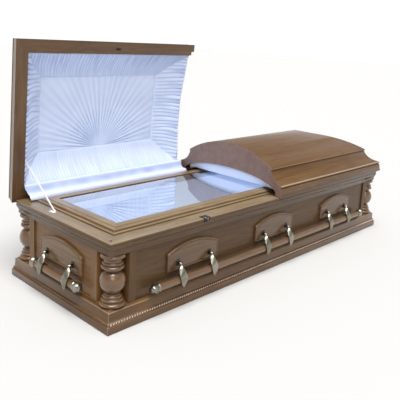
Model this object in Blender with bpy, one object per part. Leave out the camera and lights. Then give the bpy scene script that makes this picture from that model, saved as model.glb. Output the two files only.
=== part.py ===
import bpy
import bmesh
from math import asin, atan2, cos, degrees, hypot, pi, radians, sin, sqrt
from mathutils import Matrix, Vector

# A half-couch wooden casket with its head lid open and its foot lid closed. Metres, +Z up.
# +X runs to the foot end, -Y is the front, and the hinges are at the back.
# The origin is the middle of the underside.

GAP = 0.0003  # between pieces that touch

# body box
BASE_HALF_X = 1.050
BASE_HALF_Y = 0.367
BODY_HALF_X = 1.022
BODY_HALF_Y = 0.342
PLINTH_TOP = 0.090
NOTCH_TOP = 0.303
WALL_TOP = 0.3417
WALL = 0.020
FLOOR = 0.018
FIELD_DEPTH = 0.008
NOTCH_X = 0.9325
NOTCH_Y = 0.2525
STILE_X = 0.899
STILE_Y = 0.215

# cornice, ledge and glass frame
LEDGE_HALF_X = 1.032
LEDGE_HALF_Y = 0.352
LEDGE_TOP = 0.3603
RIM_BOARD = 0.018
OPENING_HALF_Y = 0.204
FRAME_HALF_X = 0.967
FRAME_HALF_Y = 0.282
FRAME_TOP = 0.381
GLASS_REST = 0.370
GLASS_THICKNESS = 0.006
GLASS_HALF_Y = 0.2115
GLASS_HALF_X = GLASS_HALF_Y + FRAME_HALF_X - FRAME_HALF_Y

# corner posts
POST_X = 0.984
POST_Y = 0.304
POST_RADIUS = 0.0500
POST_SIDES = 12

# raised panels and handles
PANEL_PITCH = 0.579
PANEL_HALF = 0.153
PANEL_BOTTOM = 0.160
PANEL_SPRING = 0.240
PANEL_RISE = 0.036
PANEL_THICKNESS = 0.012
PANEL_BEVEL = 0.013
ARM_HALF = 0.0950
PIVOT_OUT = 0.0245
PIVOT_Z = 0.192
BAR_OUT = 0.037
BAR_Z = 0.127
BAR_RADIUS = 0.0155
SIDE_BAR_HALF = 0.801
END_BAR_HALF = 0.142
TIP_LENGTH = 0.045

# lids
LID_HALF_X = 1.050
LID_HALF_Y = 0.366
LID_REST = 0.3626
LID_CUT = 0.004
LID_GAP = 0.003
LID_SHELL = 0.018
LID_BOARD = 0.018
LID_HEIGHT = 0.219
ARRIS_HEIGHT = 0.1345
END_RAKE = 0.134
ARCH_HALF = 0.328
ARCH_FOOT = 0.010
ARCH_RISE = 0.0765
LID_RIM_WIDTH = 0.057
LID_RIM_THICKNESS = 0.013
LID_OPEN = 85.0
HINGE_Y = 0.3535
HINGE_Z = 0.3615

# lid stay, on the head end of the ledge
STAY_X = -0.9885
STAY_TOP_OUT = 0.1745
STAY_TOP_HEIGHT = 0.005
STAY_FOOT_Y = 0.105
STAY_FOOT_Z = 0.3675
STAY_HALF_WIDTH = 0.004
STAY_THICKNESS = 0.0028

# latch
LATCH_X = -0.515
LATCH_Y = 0.3320

WOOD = ((0.17, 0.085, 0.042), 0.42, 0.0)
WOOD_TOP = ((0.20, 0.105, 0.05), 0.38, 0.0)
SATIN = ((0.80, 0.83, 0.92), 0.55, 0.0)
GLASS = ((0.85, 0.88, 0.92), 0.03, 0.0)
BRASS = ((0.42, 0.39, 0.27), 0.30, 1.0)
DARK_METAL = ((0.10, 0.08, 0.08), 0.45, 1.0)
WHITE_METAL = ((0.85, 0.85, 0.86), 0.35, 0.0)


def clear_scene():
    for obj in list(bpy.data.objects):
        bpy.data.objects.remove(obj, do_unlink=True)


def material(name, look):
    colour, roughness, metallic = look
    mat = bpy.data.materials.new(name)
    mat.use_nodes = True
    shader = mat.node_tree.nodes["Principled BSDF"]
    shader.inputs["Base Color"].default_value = (*colour, 1)
    shader.inputs["Roughness"].default_value = roughness
    shader.inputs["Metallic"].default_value = metallic
    mat.diffuse_color = (*colour, 1)
    return mat


def add_object(name, mesh, mat=None, parent=None):
    obj = bpy.data.objects.new(name, mesh)
    bpy.context.collection.objects.link(obj)
    if mat:
        obj.data.materials.clear()
        obj.data.materials.append(mat)
    obj.parent = parent
    return obj


def add_empty(name, location, turn=(0, 0, 0)):
    empty = bpy.data.objects.new(name, None)
    empty.location = location
    empty.rotation_euler = [radians(angle) for angle in turn]
    bpy.context.collection.objects.link(empty)
    return empty


def to_mesh(name, bm, smooth=False):
    """A mesh with its faces turned outwards, flat or smooth."""
    bmesh.ops.recalc_face_normals(bm, faces=bm.faces)
    mesh = bpy.data.meshes.new(name)
    bm.to_mesh(mesh)
    bm.free()
    if smooth:
        mesh.shade_smooth()
        mesh.set_sharp_from_angle(angle=radians(35))
    return mesh


def loft(loops, close_along=False, bm=None):
    """Skins loops of equal length. It caps both ends, or joins the last loop to the first."""
    bm = bm or bmesh.new()
    rows = [[bm.verts.new(point) for point in loop] for loop in loops]
    pairs = list(zip(rows, rows[1:]))
    if close_along:
        pairs.append((rows[-1], rows[0]))
    for low, high in pairs:
        for i in range(len(low)):
            j = (i + 1) % len(low)
            bm.faces.new((low[i], low[j], high[j], high[i]))
    if not close_along:
        bm.faces.new(rows[0])
        bm.faces.new(rows[-1])
    return bm


def arc(centre, radius, start, end, count):
    """Points on a circle from one angle to another, in radians."""
    step = (end - start) / (count - 1)
    return [(centre[0] + radius * cos(start + step * i), centre[1] + radius * sin(start + step * i))
            for i in range(count)]


def chord_arc(first, last, sagitta, count):
    """Points on the arc between two points that bulges by sagitta to the left of the way along."""
    across = Vector(last) - Vector(first)
    middle = (Vector(first) + Vector(last)) / 2
    left = Vector((-across.y, across.x)).normalized()
    radius = (across.length ** 2 / 4 + sagitta ** 2) / (2 * abs(sagitta))
    centre = middle - left * (radius - abs(sagitta)) * (1 if sagitta > 0 else -1)
    start = atan2(first[1] - centre.y, first[0] - centre.x)
    turn = 2 * asin(min(1, across.length / (2 * radius))) * (-1 if sagitta > 0 else 1)
    return arc(centre, radius, start, start + turn, count)


def rect_loop(half_x, half_y, z):
    return [(-half_x, -half_y, z), (half_x, -half_y, z), (half_x, half_y, z), (-half_x, half_y, z)]


def mitred_ring(profile, half_x, half_y):
    """A moulding of closed profile (out, z) run round a rectangle."""
    return loft([rect_loop(half_x + out, half_y + out, z) for out, z in profile], close_along=True)


def box(bm, low, high):
    centre = (Vector(low) + Vector(high)) / 2
    size = Vector(high) - Vector(low)
    place = Matrix.Translation(centre) @ Matrix.Diagonal((*size, 1))
    return bmesh.ops.create_cube(bm, size=1, matrix=place)["verts"]


def helper(name, bm):
    """A cutter or a joined shape that the build leaves out."""
    obj = add_object(name, to_mesh(name, bm))
    obj.hide_render = True
    obj.display_type = "WIRE"
    return obj


def boolean(obj, other, operation):
    modifier = obj.modifiers.new(other.name, "BOOLEAN")
    modifier.object = other
    modifier.operation = operation


def evaluated_mesh(obj):
    """The mesh with its modifiers in it, for copies to share."""
    graph = bpy.context.evaluated_depsgraph_get()
    mesh = bpy.data.meshes.new_from_object(obj.evaluated_get(graph))
    bpy.data.objects.remove(obj, do_unlink=True)
    return mesh


def turned(profile, sides):
    """A turned body from (radius, z) points, closed by small flat ends."""
    loops = [[(r * cos(2 * pi * i / sides), r * sin(2 * pi * i / sides), z) for i in range(sides)]
             for r, z in profile]
    return loft(loops)


def notched_loop(half_x, half_y, notch_x, notch_y, z):
    """A rectangle with its four corners cut back square."""
    corner = [(half_x, notch_y), (notch_x, notch_y), (notch_x, half_y)]
    points = [(x, y) for x, y in corner]
    points += [(-x, y) for x, y in reversed(corner)]
    points += [(-x, -y) for x, y in corner]
    points += [(x, -y) for x, y in reversed(corner)]
    return [(x, y, z) for x, y in points]


# body

def body_shell(wood):
    bm = bmesh.new()
    box(bm, (-BODY_HALF_X, -BODY_HALF_Y, 0), (BODY_HALF_X, BODY_HALF_Y, WALL_TOP))
    shell = add_object("body_box", to_mesh("body_box", bm), wood)
    room_x, room_y = BODY_HALF_X - FIELD_DEPTH - WALL, BODY_HALF_Y - FIELD_DEPTH - WALL
    inner_x, inner_y = NOTCH_X - WALL, NOTCH_Y - WALL
    cutter = loft([notched_loop(room_x, room_y, inner_x, inner_y, z) for z in (FLOOR, WALL_TOP + 0.02)])
    outside = 0.05
    for sx in (-1, 1):
        for sy in (-1, 1):
            xs = sorted((sx * NOTCH_X, sx * (BODY_HALF_X + outside)))
            ys = sorted((sy * NOTCH_Y, sy * (BODY_HALF_Y + outside)))
            box(cutter, (xs[0], ys[0], PLINTH_TOP), (xs[1], ys[1], NOTCH_TOP))
    for side in (-1, 1):
        ys = sorted((side * (BODY_HALF_Y - FIELD_DEPTH), side * (BODY_HALF_Y + outside)))
        box(cutter, (-STILE_X, ys[0], PLINTH_TOP), (STILE_X, ys[1], NOTCH_TOP))
        xs = sorted((side * (BODY_HALF_X - FIELD_DEPTH), side * (BODY_HALF_X + outside)))
        box(cutter, (xs[0], -STILE_Y, PLINTH_TOP), (xs[1], STILE_Y, NOTCH_TOP))
    boolean(shell, helper("body_box_cutter", cutter), "DIFFERENCE")
    return shell


def base_moulding(wood):
    inner = BODY_HALF_Y + GAP - BASE_HALF_Y
    bead = arc((-0.0025, 0.038), 0.0045, -1.2, 1.4, 5)
    profile = [(inner, 0), (-0.002, 0), (0, 0.003), (0, 0.0315), (-0.002, 0.033)]
    profile += bead
    profile += [(-0.007, 0.043), (-0.0095, 0.0445), (-0.012, 0.080), (-0.0135, 0.0835), (-0.0165, 0.085)]
    profile += [(inner, PLINTH_TOP)]
    mesh = to_mesh("base_moulding", mitred_ring(profile, BASE_HALF_X, BASE_HALF_Y))
    return add_object("base_moulding", mesh, wood)


def top_rim(wood):
    """The ledge board with the cornice under its edge, in one mitred run."""
    inner = OPENING_HALF_Y + 0.005 - LEDGE_HALF_Y
    under = LEDGE_TOP - RIM_BOARD
    wall = BODY_HALF_Y + GAP - LEDGE_HALF_Y
    profile = [(inner, under), (inner, LEDGE_TOP), (-0.0035, LEDGE_TOP), (-0.001, LEDGE_TOP - 0.0012)]
    profile += [(0, LEDGE_TOP - 0.004), (0, 0.3345), (-0.002, 0.333), (-0.002, 0.329)]
    profile += chord_arc((-0.002, 0.329), (-0.0075, 0.3085), -0.0022, 4)[1:]
    profile += [(-0.0075, NOTCH_TOP + GAP), (wall, NOTCH_TOP + GAP), (wall, under)]
    rim = add_object("top_rim", to_mesh("top_rim", mitred_ring(profile, LEDGE_HALF_X, LEDGE_HALF_Y)), wood)
    slot = bmesh.new()
    box(slot, (LATCH_X - 0.008, -LATCH_Y - 0.0045, LEDGE_TOP - 0.0125),
        (LATCH_X + 0.008, -LATCH_Y + 0.0045, LEDGE_TOP + 0.02))
    boolean(rim, helper("latch_slot", slot), "DIFFERENCE")
    return rim


def glass_frame(wood):
    inner = OPENING_HALF_Y - FRAME_HALF_Y
    rebate = GLASS_HALF_Y + GAP - FRAME_HALF_Y
    bottom = LEDGE_TOP + GAP
    profile = [(inner, bottom), (0, bottom), (0, bottom + 0.0035)]
    profile += chord_arc((-0.002, bottom + 0.0045), (-0.013, bottom + 0.0105), 0.0022, 4)
    profile += chord_arc((-0.013, bottom + 0.0105), (-0.0225, FRAME_TOP - 0.003), -0.0018, 4)[1:]
    profile += [(-0.026, FRAME_TOP - 0.0025), (-0.028, FRAME_TOP)]
    profile += [(rebate + 0.004, FRAME_TOP), (rebate, FRAME_TOP - 0.002)]
    profile += [(rebate, GLASS_REST), (inner, GLASS_REST)]
    mesh = to_mesh("glass_frame", mitred_ring(profile, FRAME_HALF_X, FRAME_HALF_Y))
    return add_object("glass_frame", mesh, wood)


def glass_pane(glass):
    bm = bmesh.new()
    low = GLASS_REST + GAP
    box(bm, (-GLASS_HALF_X, -GLASS_HALF_Y, low), (GLASS_HALF_X, GLASS_HALF_Y, low + GLASS_THICKNESS))
    return add_object("glass_pane", to_mesh("glass_pane", bm), glass)


def body_lining(satin):
    """A fabric tray with upright sides and a softly rounded foot to them."""
    skin, clear = 0.010, 0.002
    half_x = BODY_HALF_X - FIELD_DEPTH - WALL - clear
    half_y = BODY_HALF_Y - FIELD_DEPTH - WALL - clear
    notch_x, notch_y = NOTCH_X - WALL - clear, NOTCH_Y - WALL - clear
    low, high = FLOOR + clear, WALL_TOP - clear

    def loop(inset, z):
        return notched_loop(half_x - inset, half_y - inset, notch_x - inset, notch_y - inset, z)

    loops = [loop(0, low), loop(0, high), loop(skin, high), loop(skin, low + 0.045)]
    loops += [loop(skin + 0.006, low + 0.026), loop(skin + 0.024, low + 0.014)]
    return add_object("body_lining", to_mesh("body_lining", loft(loops)), satin)


def post_mesh():
    low, high = PLINTH_TOP + GAP, NOTCH_TOP - GAP
    foot = [(0.0470, low), (0.0500, 0.0965), (0.0500, 0.1045), (0.0455, 0.1110), (0.0310, 0.1140)]
    rings = [(0.0310, 0.1240), (0.0262, 0.1290), (0.0290, 0.1330), (0.0290, 0.1410), (0.0262, 0.1460)]
    ball = [(0.0340, 0.1510), (0.0440, 0.1610), (0.0490, 0.1745), (POST_RADIUS, 0.1910), (0.0480, 0.2080),
            (0.0425, 0.2220), (0.0345, 0.2320)]
    collar = [(0.0320, 0.2390), (0.0385, 0.2430), (0.0395, 0.2510), (0.0375, 0.2580), (0.0300, 0.2640)]
    flare = [(0.0285, 0.2730), (0.0320, 0.2850), (0.0430, 0.2950), (0.0430, high)]
    return to_mesh("corner_post", turned(foot + rings + ball + collar + flare, POST_SIDES), smooth=True)


def corner_posts(wood):
    mesh = post_mesh()
    places = {"head_front": (-1, -1), "head_back": (-1, 1), "foot_front": (1, -1), "foot_back": (1, 1)}
    for name, (sx, sy) in places.items():
        post = add_object("corner_post_" + name, mesh, wood)
        post.location = (sx * POST_X, sy * POST_Y, 0)


# raised panels, each with the two eared plates that its handle hangs from

def arch_loop(inset, out, arch_points=8):
    """The panel's outline drawn in by inset, out from the field."""
    half = PANEL_HALF - inset
    radius = (PANEL_HALF ** 2 + PANEL_RISE ** 2) / (2 * PANEL_RISE)
    centre_z = PANEL_SPRING + PANEL_RISE - radius
    sweep = asin(half / (radius - inset))
    top = arc((0, centre_z), radius - inset, pi / 2 - sweep, pi / 2 + sweep, arch_points)
    points = [(-half, PANEL_BOTTOM + inset), (half, PANEL_BOTTOM + inset)] + top
    return [(x, -out, z) for x, z in points]


def panel_mesh():
    levels = [(0, GAP), (0, 0.0055), (0.0025, 0.0065), (PANEL_BEVEL, PANEL_THICKNESS)]
    panel = add_object("panel", to_mesh("panel", loft([arch_loop(*level) for level in levels])))
    lugs = bmesh.new()
    plate, ear = 0.0030, 0.0022
    for side in (-1, 1):
        x = side * ARM_HALF
        box(lugs, (x - 0.0098, -PANEL_THICKNESS - plate, PIVOT_Z - 0.0100),
            (x + 0.0098, -PANEL_THICKNESS + 0.003, PIVOT_Z + 0.0165))
        for inner in (-0.0075 - ear, 0.0075):
            box(lugs, (x + inner, -PIVOT_OUT - 0.0045, PIVOT_Z - 0.0048),
                (x + inner + ear, -PANEL_THICKNESS + 0.002, PIVOT_Z + 0.0048))
    boolean(panel, helper("panel_lugs", lugs), "UNION")
    mesh = evaluated_mesh(panel)
    bpy.data.objects.remove(bpy.data.objects["panel_lugs"], do_unlink=True)
    return mesh


# The four sides: name, place of the middle of the field, turn about Z, middles of its handle pairs.
FIELD_X = BODY_HALF_X - FIELD_DEPTH
FIELD_Y = BODY_HALF_Y - FIELD_DEPTH
SIDES = (("front", (0, -FIELD_Y), 0, (-PANEL_PITCH, 0, PANEL_PITCH), SIDE_BAR_HALF),
         ("back", (0, FIELD_Y), 180, (-PANEL_PITCH, 0, PANEL_PITCH), SIDE_BAR_HALF),
         ("head", (-FIELD_X, 0), -90, (0,), END_BAR_HALF),
         ("foot", (FIELD_X, 0), 90, (0,), END_BAR_HALF))


def raised_panels(wood):
    mesh = panel_mesh()
    for side, place, turn, middles, _ in SIDES:
        for number, middle in enumerate(middles, 1):
            name = "panel_" + side + (f"_{number}" if len(middles) > 1 else "")
            panel = add_object(name, mesh, wood)
            spin = Matrix.Rotation(radians(turn), 4, "Z")
            panel.matrix_world = Matrix.Translation((*place, 0)) @ spin @ Matrix.Translation((middle, 0, 0))


def arm_mesh():
    """A slender hook from its ball on the pivot down to a pointed leaf in front of the bar.

    The arm lies in the plane x = 0 with the pivot at the origin and -Y outwards.
    """
    bar = Vector((BAR_OUT - PIVOT_OUT, BAR_Z - PIVOT_Z))
    leaf = bar.x + BAR_RADIUS + 0.0045
    # for each station: its centre (out, up), half its width and half its depth
    stations = [((0, 0.0064), 0.0030, 0.0028), ((0, 0.0028), 0.0062, 0.0060), ((0, -0.0028), 0.0062, 0.0060),
                ((0.0035, -0.0090), 0.0050, 0.0052), ((0.0100, -0.0180), 0.0095, 0.0062),
                ((0.0190, -0.0300), 0.0145, 0.0066), ((0.0275, -0.0440), 0.0168, 0.0052),
                ((leaf, bar.y + 0.005), 0.0172, 0.0030), ((leaf, bar.y - 0.010), 0.0150, 0.0030),
                ((leaf - 0.0020, bar.y - 0.022), 0.0098, 0.0026)]
    stations += [((leaf - 0.0045, bar.y - 0.031), 0.0022, 0.0018)]
    loops = []
    sides = 6
    for i, ((out, z), width, depth) in enumerate(stations):
        before, after = stations[max(i - 1, 0)][0], stations[min(i + 1, len(stations) - 1)][0]
        along = Vector((after[0] - before[0], after[1] - before[1])).normalized()
        normal = Vector((-along.y, along.x))
        loop = []
        for k in range(sides):
            angle = 2 * pi * k / sides
            offset = normal * depth * sin(angle)
            loop.append((width * cos(angle), -(out + offset.x), z + offset.y))
        loops.append(loop)
    arm = add_object("arm", to_mesh("arm", loft(loops)))
    hole, rim, half, steps = BAR_RADIUS + 0.0015, BAR_RADIUS + 0.0048, 0.0095, 9

    def circle(radius, x):
        return [(x, -(bar.x + radius * cos(2 * pi * k / steps)), bar.y + radius * sin(2 * pi * k / steps))
                for k in range(steps)]

    rings = [circle(hole, -half), circle(rim, -half), circle(rim, half), circle(hole, half)]
    boolean(arm, helper("arm_collar", loft(rings, close_along=True)), "UNION")
    mesh = evaluated_mesh(arm)
    bpy.data.objects.remove(bpy.data.objects["arm_collar"], do_unlink=True)
    return mesh


def along_x(bm, place=(0, 0, 0), flip=False):
    """Lays a turned body along X, facing -X when flipped."""
    turn = Matrix.Rotation(-pi / 2 if flip else pi / 2, 4, "Y")
    bmesh.ops.transform(bm, matrix=Matrix.Translation(place) @ turn, verts=bm.verts)
    return bm


def bar_mesh(half):
    place = (0, -(BAR_OUT - PIVOT_OUT), BAR_Z - PIVOT_Z)
    return to_mesh("bar", along_x(turned([(BAR_RADIUS, -half), (BAR_RADIUS, half)], 16), place), smooth=True)


def tip_mesh(half, flip):
    start = half + GAP
    sign = -1 if flip else 1
    place = (sign * start, -(BAR_OUT - PIVOT_OUT), BAR_Z - PIVOT_Z)
    neck, bulb = BAR_RADIUS + 0.0012, 0.0205
    profile = [(neck + 0.0010, 0), (neck + 0.0010, 0.006), (neck - 0.0008, 0.0085), (bulb - 0.0012, 0.016)]
    profile += [(bulb, 0.024), (bulb - 0.0030, 0.034), (0.0110, 0.041), (0.0040, TIP_LENGTH)]
    return to_mesh("tip", along_x(turned(profile, 10), place, flip), smooth=True)


def handles(wood, brass):
    arm = arm_mesh()
    for side, place, turn, middles, half in SIDES:
        spin = Matrix.Rotation(radians(turn), 4, "Z")
        pivot = Matrix.Translation((*place, PIVOT_Z)) @ spin @ Matrix.Translation((0, -PIVOT_OUT, 0))
        axis = add_empty(f"handle_{side}_axis", (0, 0, 0))
        axis.matrix_world = pivot
        add_object(f"handle_{side}_bar", bar_mesh(half), wood, axis)
        for end, flip in (("a", True), ("b", False)):
            add_object(f"handle_{side}_tip_{end}", tip_mesh(half, flip), brass, axis)
        offsets = [middle + sign * ARM_HALF for middle in middles for sign in (-1, 1)]
        for number, offset in enumerate(offsets, 1):
            piece = add_object(f"handle_{side}_arm_{number}", arm, brass, axis)
            piece.location.x = offset


# lids. Their profile is (in from the edge, up from the rim's underside)

def outer_profile():
    crown_start, crown_top = (0.0755, ARRIS_HEIGHT), LID_HEIGHT
    half_chord, rise = LID_HALF_Y - crown_start[0], crown_top - crown_start[1]
    radius = (half_chord ** 2 + rise ** 2) / (2 * rise)
    sweep = asin(half_chord / radius)
    crown = arc((LID_HALF_Y, crown_top - radius), radius, pi / 2 + sweep, pi / 2, 9)
    fascia = [(0, 0), (0.0075, 0.0475)]
    bead = arc((0.0110, 0.0535), 0.0048, -2.5, -4.3, 4)
    cove = chord_arc((0.0145, 0.0605), (0.0700, 0.1265), -0.0105, 6)
    return fascia + bead + cove + [crown_start] + crown[1:], radius, crown_top


def inner_profile(radius, crown_top, total):
    points = [(LID_RIM_WIDTH, 0), (LID_RIM_WIDTH, LID_RIM_THICKNESS), (0.026, 0.018), (0.030, 0.056)]
    radius -= LID_SHELL
    centre = crown_top - LID_SHELL - radius
    start = 0.098
    sweep = asin((LID_HALF_Y - start) / radius)
    crown = arc((LID_HALF_Y, centre), radius, pi / 2 + sweep, pi / 2, total - len(points) - 1)
    return points + [(0.070, 0.092)] + crown


def arch_height(y):
    """How high the arch in the end board stands above the rim's underside at y."""
    return ARCH_FOOT + ARCH_RISE * sqrt(max(0, 1 - (y / ARCH_HALF) ** 2))


def arch_cutter(start, direction, count=19):
    """The full arch, cut through the end board and just into the ends of the rim boards."""
    ys = [-ARCH_HALF * cos(pi * i / (count - 1)) for i in range(count)]
    outline = [(-ARCH_HALF, -0.02)] + [(y, arch_height(y)) for y in ys] + [(ARCH_HALF, -0.02)]
    loops = [[(direction * x, y - HINGE_Y, LID_REST + height - HINGE_Z) for y, height in outline]
             for x in (start - 0.01, start + LID_BOARD + 0.0005)]
    return helper("arch_cutter", loft(loops))


def lid_shell_mesh(name, start, direction):
    """A hollow lid from start outwards, hipped at its outer end, with an arched board closing its cut end.

    Points are measured from the hinge axis, with the lid closed.
    """
    outer, radius, crown_top = outer_profile()
    inner = inner_profile(radius, crown_top, len(outer))
    # a first opening, inside the arch that is cut afterwards
    turns = [pi / 2 * i / (len(outer) - 2) for i in range(len(outer) - 1)]
    arch = [(LID_HALF_Y - 0.300, 0)] + [(LID_HALF_Y - 0.300 * cos(t), 0.012 + 0.058 * sin(t)) for t in turns]
    bm = bmesh.new()
    last = len(outer) - 1

    def vert(x, y, height):
        return bm.verts.new((direction * x, y - HINGE_Y, LID_REST + height - HINGE_Z))

    def course(profile, start):
        """For each level: the point at the cut, the two corners and the point at the cut again."""
        rows = []
        for k, (inset, height) in enumerate(profile):
            y, x_end = LID_HALF_Y - inset, LID_HALF_X - inset - END_RAKE * min(height, ARRIS_HEIGHT)
            if k == last:
                middle, apex = vert(start, 0, height), vert(x_end, 0, height)
                rows.append((middle, apex, apex, middle))
            else:
                rows.append((vert(start, -y, height), vert(x_end, -y, height), vert(x_end, y, height),
                             vert(start, y, height)))
        return rows

    def strips(rows):
        for low, high in zip(rows, rows[1:]):
            for i in range(3):
                corners = [low[i], low[i + 1], high[i + 1], high[i]]
                bm.faces.new(list(dict.fromkeys(corners)))

    skin, lining = course(outer, start), course(inner, start + LID_BOARD)
    strips(skin)
    strips(lining)

    def arch_row(x):
        front = [vert(x, -(LID_HALF_Y - inset), height) for inset, height in arch]
        back = [vert(x, LID_HALF_Y - inset, height) for inset, height in arch[:-1]]
        return front + back[::-1]

    face, behind = arch_row(start), arch_row(start + LID_BOARD)

    def across(rows):
        return [row[0] for row in rows] + [row[3] for row in rows[:-1]][::-1]

    for first, second in ((across(skin), face), (face, behind), (behind, across(lining))):
        for i in range(len(first) - 1):
            bm.faces.new((first[i], first[i + 1], second[i + 1], second[i]))
    for i, k in ((0, 0), (3, -1)):
        corner = 1 if i == 0 else 2
        bm.faces.new((skin[0][i], face[k], behind[k], lining[0][i], lining[0][corner], skin[0][corner]))
    bm.faces.new((skin[0][1], lining[0][1], lining[0][2], skin[0][2]))
    shell = add_object(name, to_mesh(name, bm))
    cutter = arch_cutter(start, direction)
    boolean(shell, cutter, "DIFFERENCE")
    mesh = evaluated_mesh(shell)
    bpy.data.objects.remove(cutter, do_unlink=True)
    return mesh


# The borders of a lid's lining: (share of the way in from the edge, share of the way up to the panel)
DEEP_FACE = ((0, 0), (0.06, 0.03), (0.16, 0.12), (0.50, 0.60), (0.86, 0.96), (1, 1))
DEEP_BACK = ((0, 0), (0.11, 0.04), (0.20, 0.14), (0.50, 0.60), (0.84, 0.96), (0.97, 1))
FLAT_FACE = ((0, 0), (0.10, 0.90), (1, 1))
FLAT_BACK = ((0, 0), (0.85, 0.90), (1, 1))


def lid_lining_mesh(name, start, direction, insets, panel_height, borders, sag):
    """A fabric tray with four borders round a flat panel.

    insets are the borders' widths at the cut end, at the outer end and at the long sides.
    Next to the cut end the fabric hangs from the arch to the height that sag gives.
    """
    skin, edge_gap, edge_height, per_side = 0.008, 0.0008, 0.0115, 8
    near, far = start + LID_BOARD + edge_gap, LID_HALF_X - LID_RIM_WIDTH - edge_gap - 0.002
    half = LID_HALF_Y - LID_RIM_WIDTH - edge_gap
    near_inset, far_inset, side_inset = insets
    outer_corners = [(near, -half), (far, -half), (far, half), (near, half)]
    inner_corners = [(near + near_inset, -half + side_inset), (far - far_inset, -half + side_inset),
                     (far - far_inset, half - side_inset), (near + near_inset, half - side_inset)]

    def around(corners):
        shares = [(1 - cos(pi * i / per_side)) / 2 for i in range(per_side)]
        return [(ax + (bx - ax) * share, ay + (by - ay) * share)
                for (ax, ay), (bx, by) in zip(corners, corners[1:] + corners[:1]) for share in shares]

    def loop(inwards, upwards, lift):
        points = []
        for (ox, oy), (ix, iy) in zip(around(outer_corners), around(inner_corners)):
            low = edge_height
            if ox == near and abs(oy) < half:
                low = arch_height(oy) + 0.001 if inwards == 0 else max(edge_height, sag(oy))
            x, y = ox + (ix - ox) * inwards, oy + (iy - oy) * inwards
            height = low + (panel_height - low) * upwards + lift
            points.append((direction * x, y - HINGE_Y, LID_REST + height - HINGE_Z))
        return points

    face, back = borders
    loops = [loop(a, u, 0) for a, u in reversed(face)] + [loop(a, u, skin) for a, u in back]
    return to_mesh(name, loft(loops))


def hinge_empty(name, opened):
    return add_empty(name, (0, HINGE_Y, HINGE_Z), (-opened, 0, 0))


def lids(wood, satin):
    # Each start is measured from the middle towards the lid's own end.
    head_start, foot_start = LID_GAP / 2 - LID_CUT, LID_GAP / 2 + LID_CUT
    head = hinge_empty("head_lid_hinge", LID_OPEN)
    foot = hinge_empty("foot_lid_hinge", 0)
    add_object("head_lid", lid_shell_mesh("head_lid", head_start, -1), wood, head)
    add_object("foot_lid", lid_shell_mesh("foot_lid", foot_start, 1), wood, foot)
    lining = lid_lining_mesh("head_lid_lining", head_start, -1, (0.140, 0.125, 0.125), 0.118,
                             (DEEP_FACE, DEEP_BACK), lambda y: 0.040 - 0.296 * y ** 2)
    add_object("head_lid_lining", lining, satin, head)
    lining = lid_lining_mesh("foot_lid_lining", foot_start, 1, (0.012, 0.014, 0.014), 0.0205,
                             (FLAT_FACE, FLAT_BACK), lambda y: 0.0205)
    add_object("foot_lid_lining", lining, satin, foot)
    return head


def latch(metal, head):
    """A plate and tongue on the head lid's rim, and a keeper with a slot, bent over the ledge's front edge."""
    bm = bmesh.new()
    under = LID_REST - HINGE_Z
    box(bm, (LATCH_X - 0.004, -LATCH_Y - HINGE_Y - 0.002, under - 0.0095),
        (LATCH_X + 0.004, -LATCH_Y - HINGE_Y + 0.002, under - 0.0008))
    plate = bmesh.new()
    box(plate, (LATCH_X - 0.016, -LATCH_Y - HINGE_Y - 0.006, under - 0.0011),
        (LATCH_X + 0.016, -LATCH_Y - HINGE_Y + 0.006, under - GAP))
    tongue = add_object("head_lid_latch", to_mesh("head_lid_latch", plate), metal, head)
    joined = helper("latch_tongue", bm)
    joined.parent = head
    boolean(tongue, joined, "UNION")
    low, high, front = LEDGE_TOP + GAP, LEDGE_TOP + 0.0012, LEDGE_HALF_Y + GAP
    outline = [(-0.320, low), (-front, low), (-front, LEDGE_TOP - 0.016), (-front - 0.001, LEDGE_TOP - 0.016),
               (-front - 0.001, high), (-0.320, high)]
    strip = loft([[(LATCH_X + x, y, z) for y, z in outline] for x in (-0.020, 0.020)])
    keeper = add_object("latch_keeper", to_mesh("latch_keeper", strip), metal)
    slot = bmesh.new()
    box(slot, (LATCH_X - 0.007, -LATCH_Y - 0.0038, LEDGE_TOP - 0.01),
        (LATCH_X + 0.007, -LATCH_Y + 0.0038, LEDGE_TOP + 0.01))
    boolean(keeper, helper("keeper_slot", slot), "DIFFERENCE")


def flat_bar(length, half_width, thickness, rounds=4):
    """A flat bar with round ends in the plane x = 0, its first hole's centre at the origin, running to -Y."""
    outline = arc((0, 0), half_width, -pi / 2, pi / 2, rounds + 1)
    outline += arc((-length, 0), half_width, pi / 2, 3 * pi / 2, rounds + 1)
    return loft([[(x, y, z) for y, z in outline] for x in (-thickness / 2, thickness / 2)])


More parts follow.
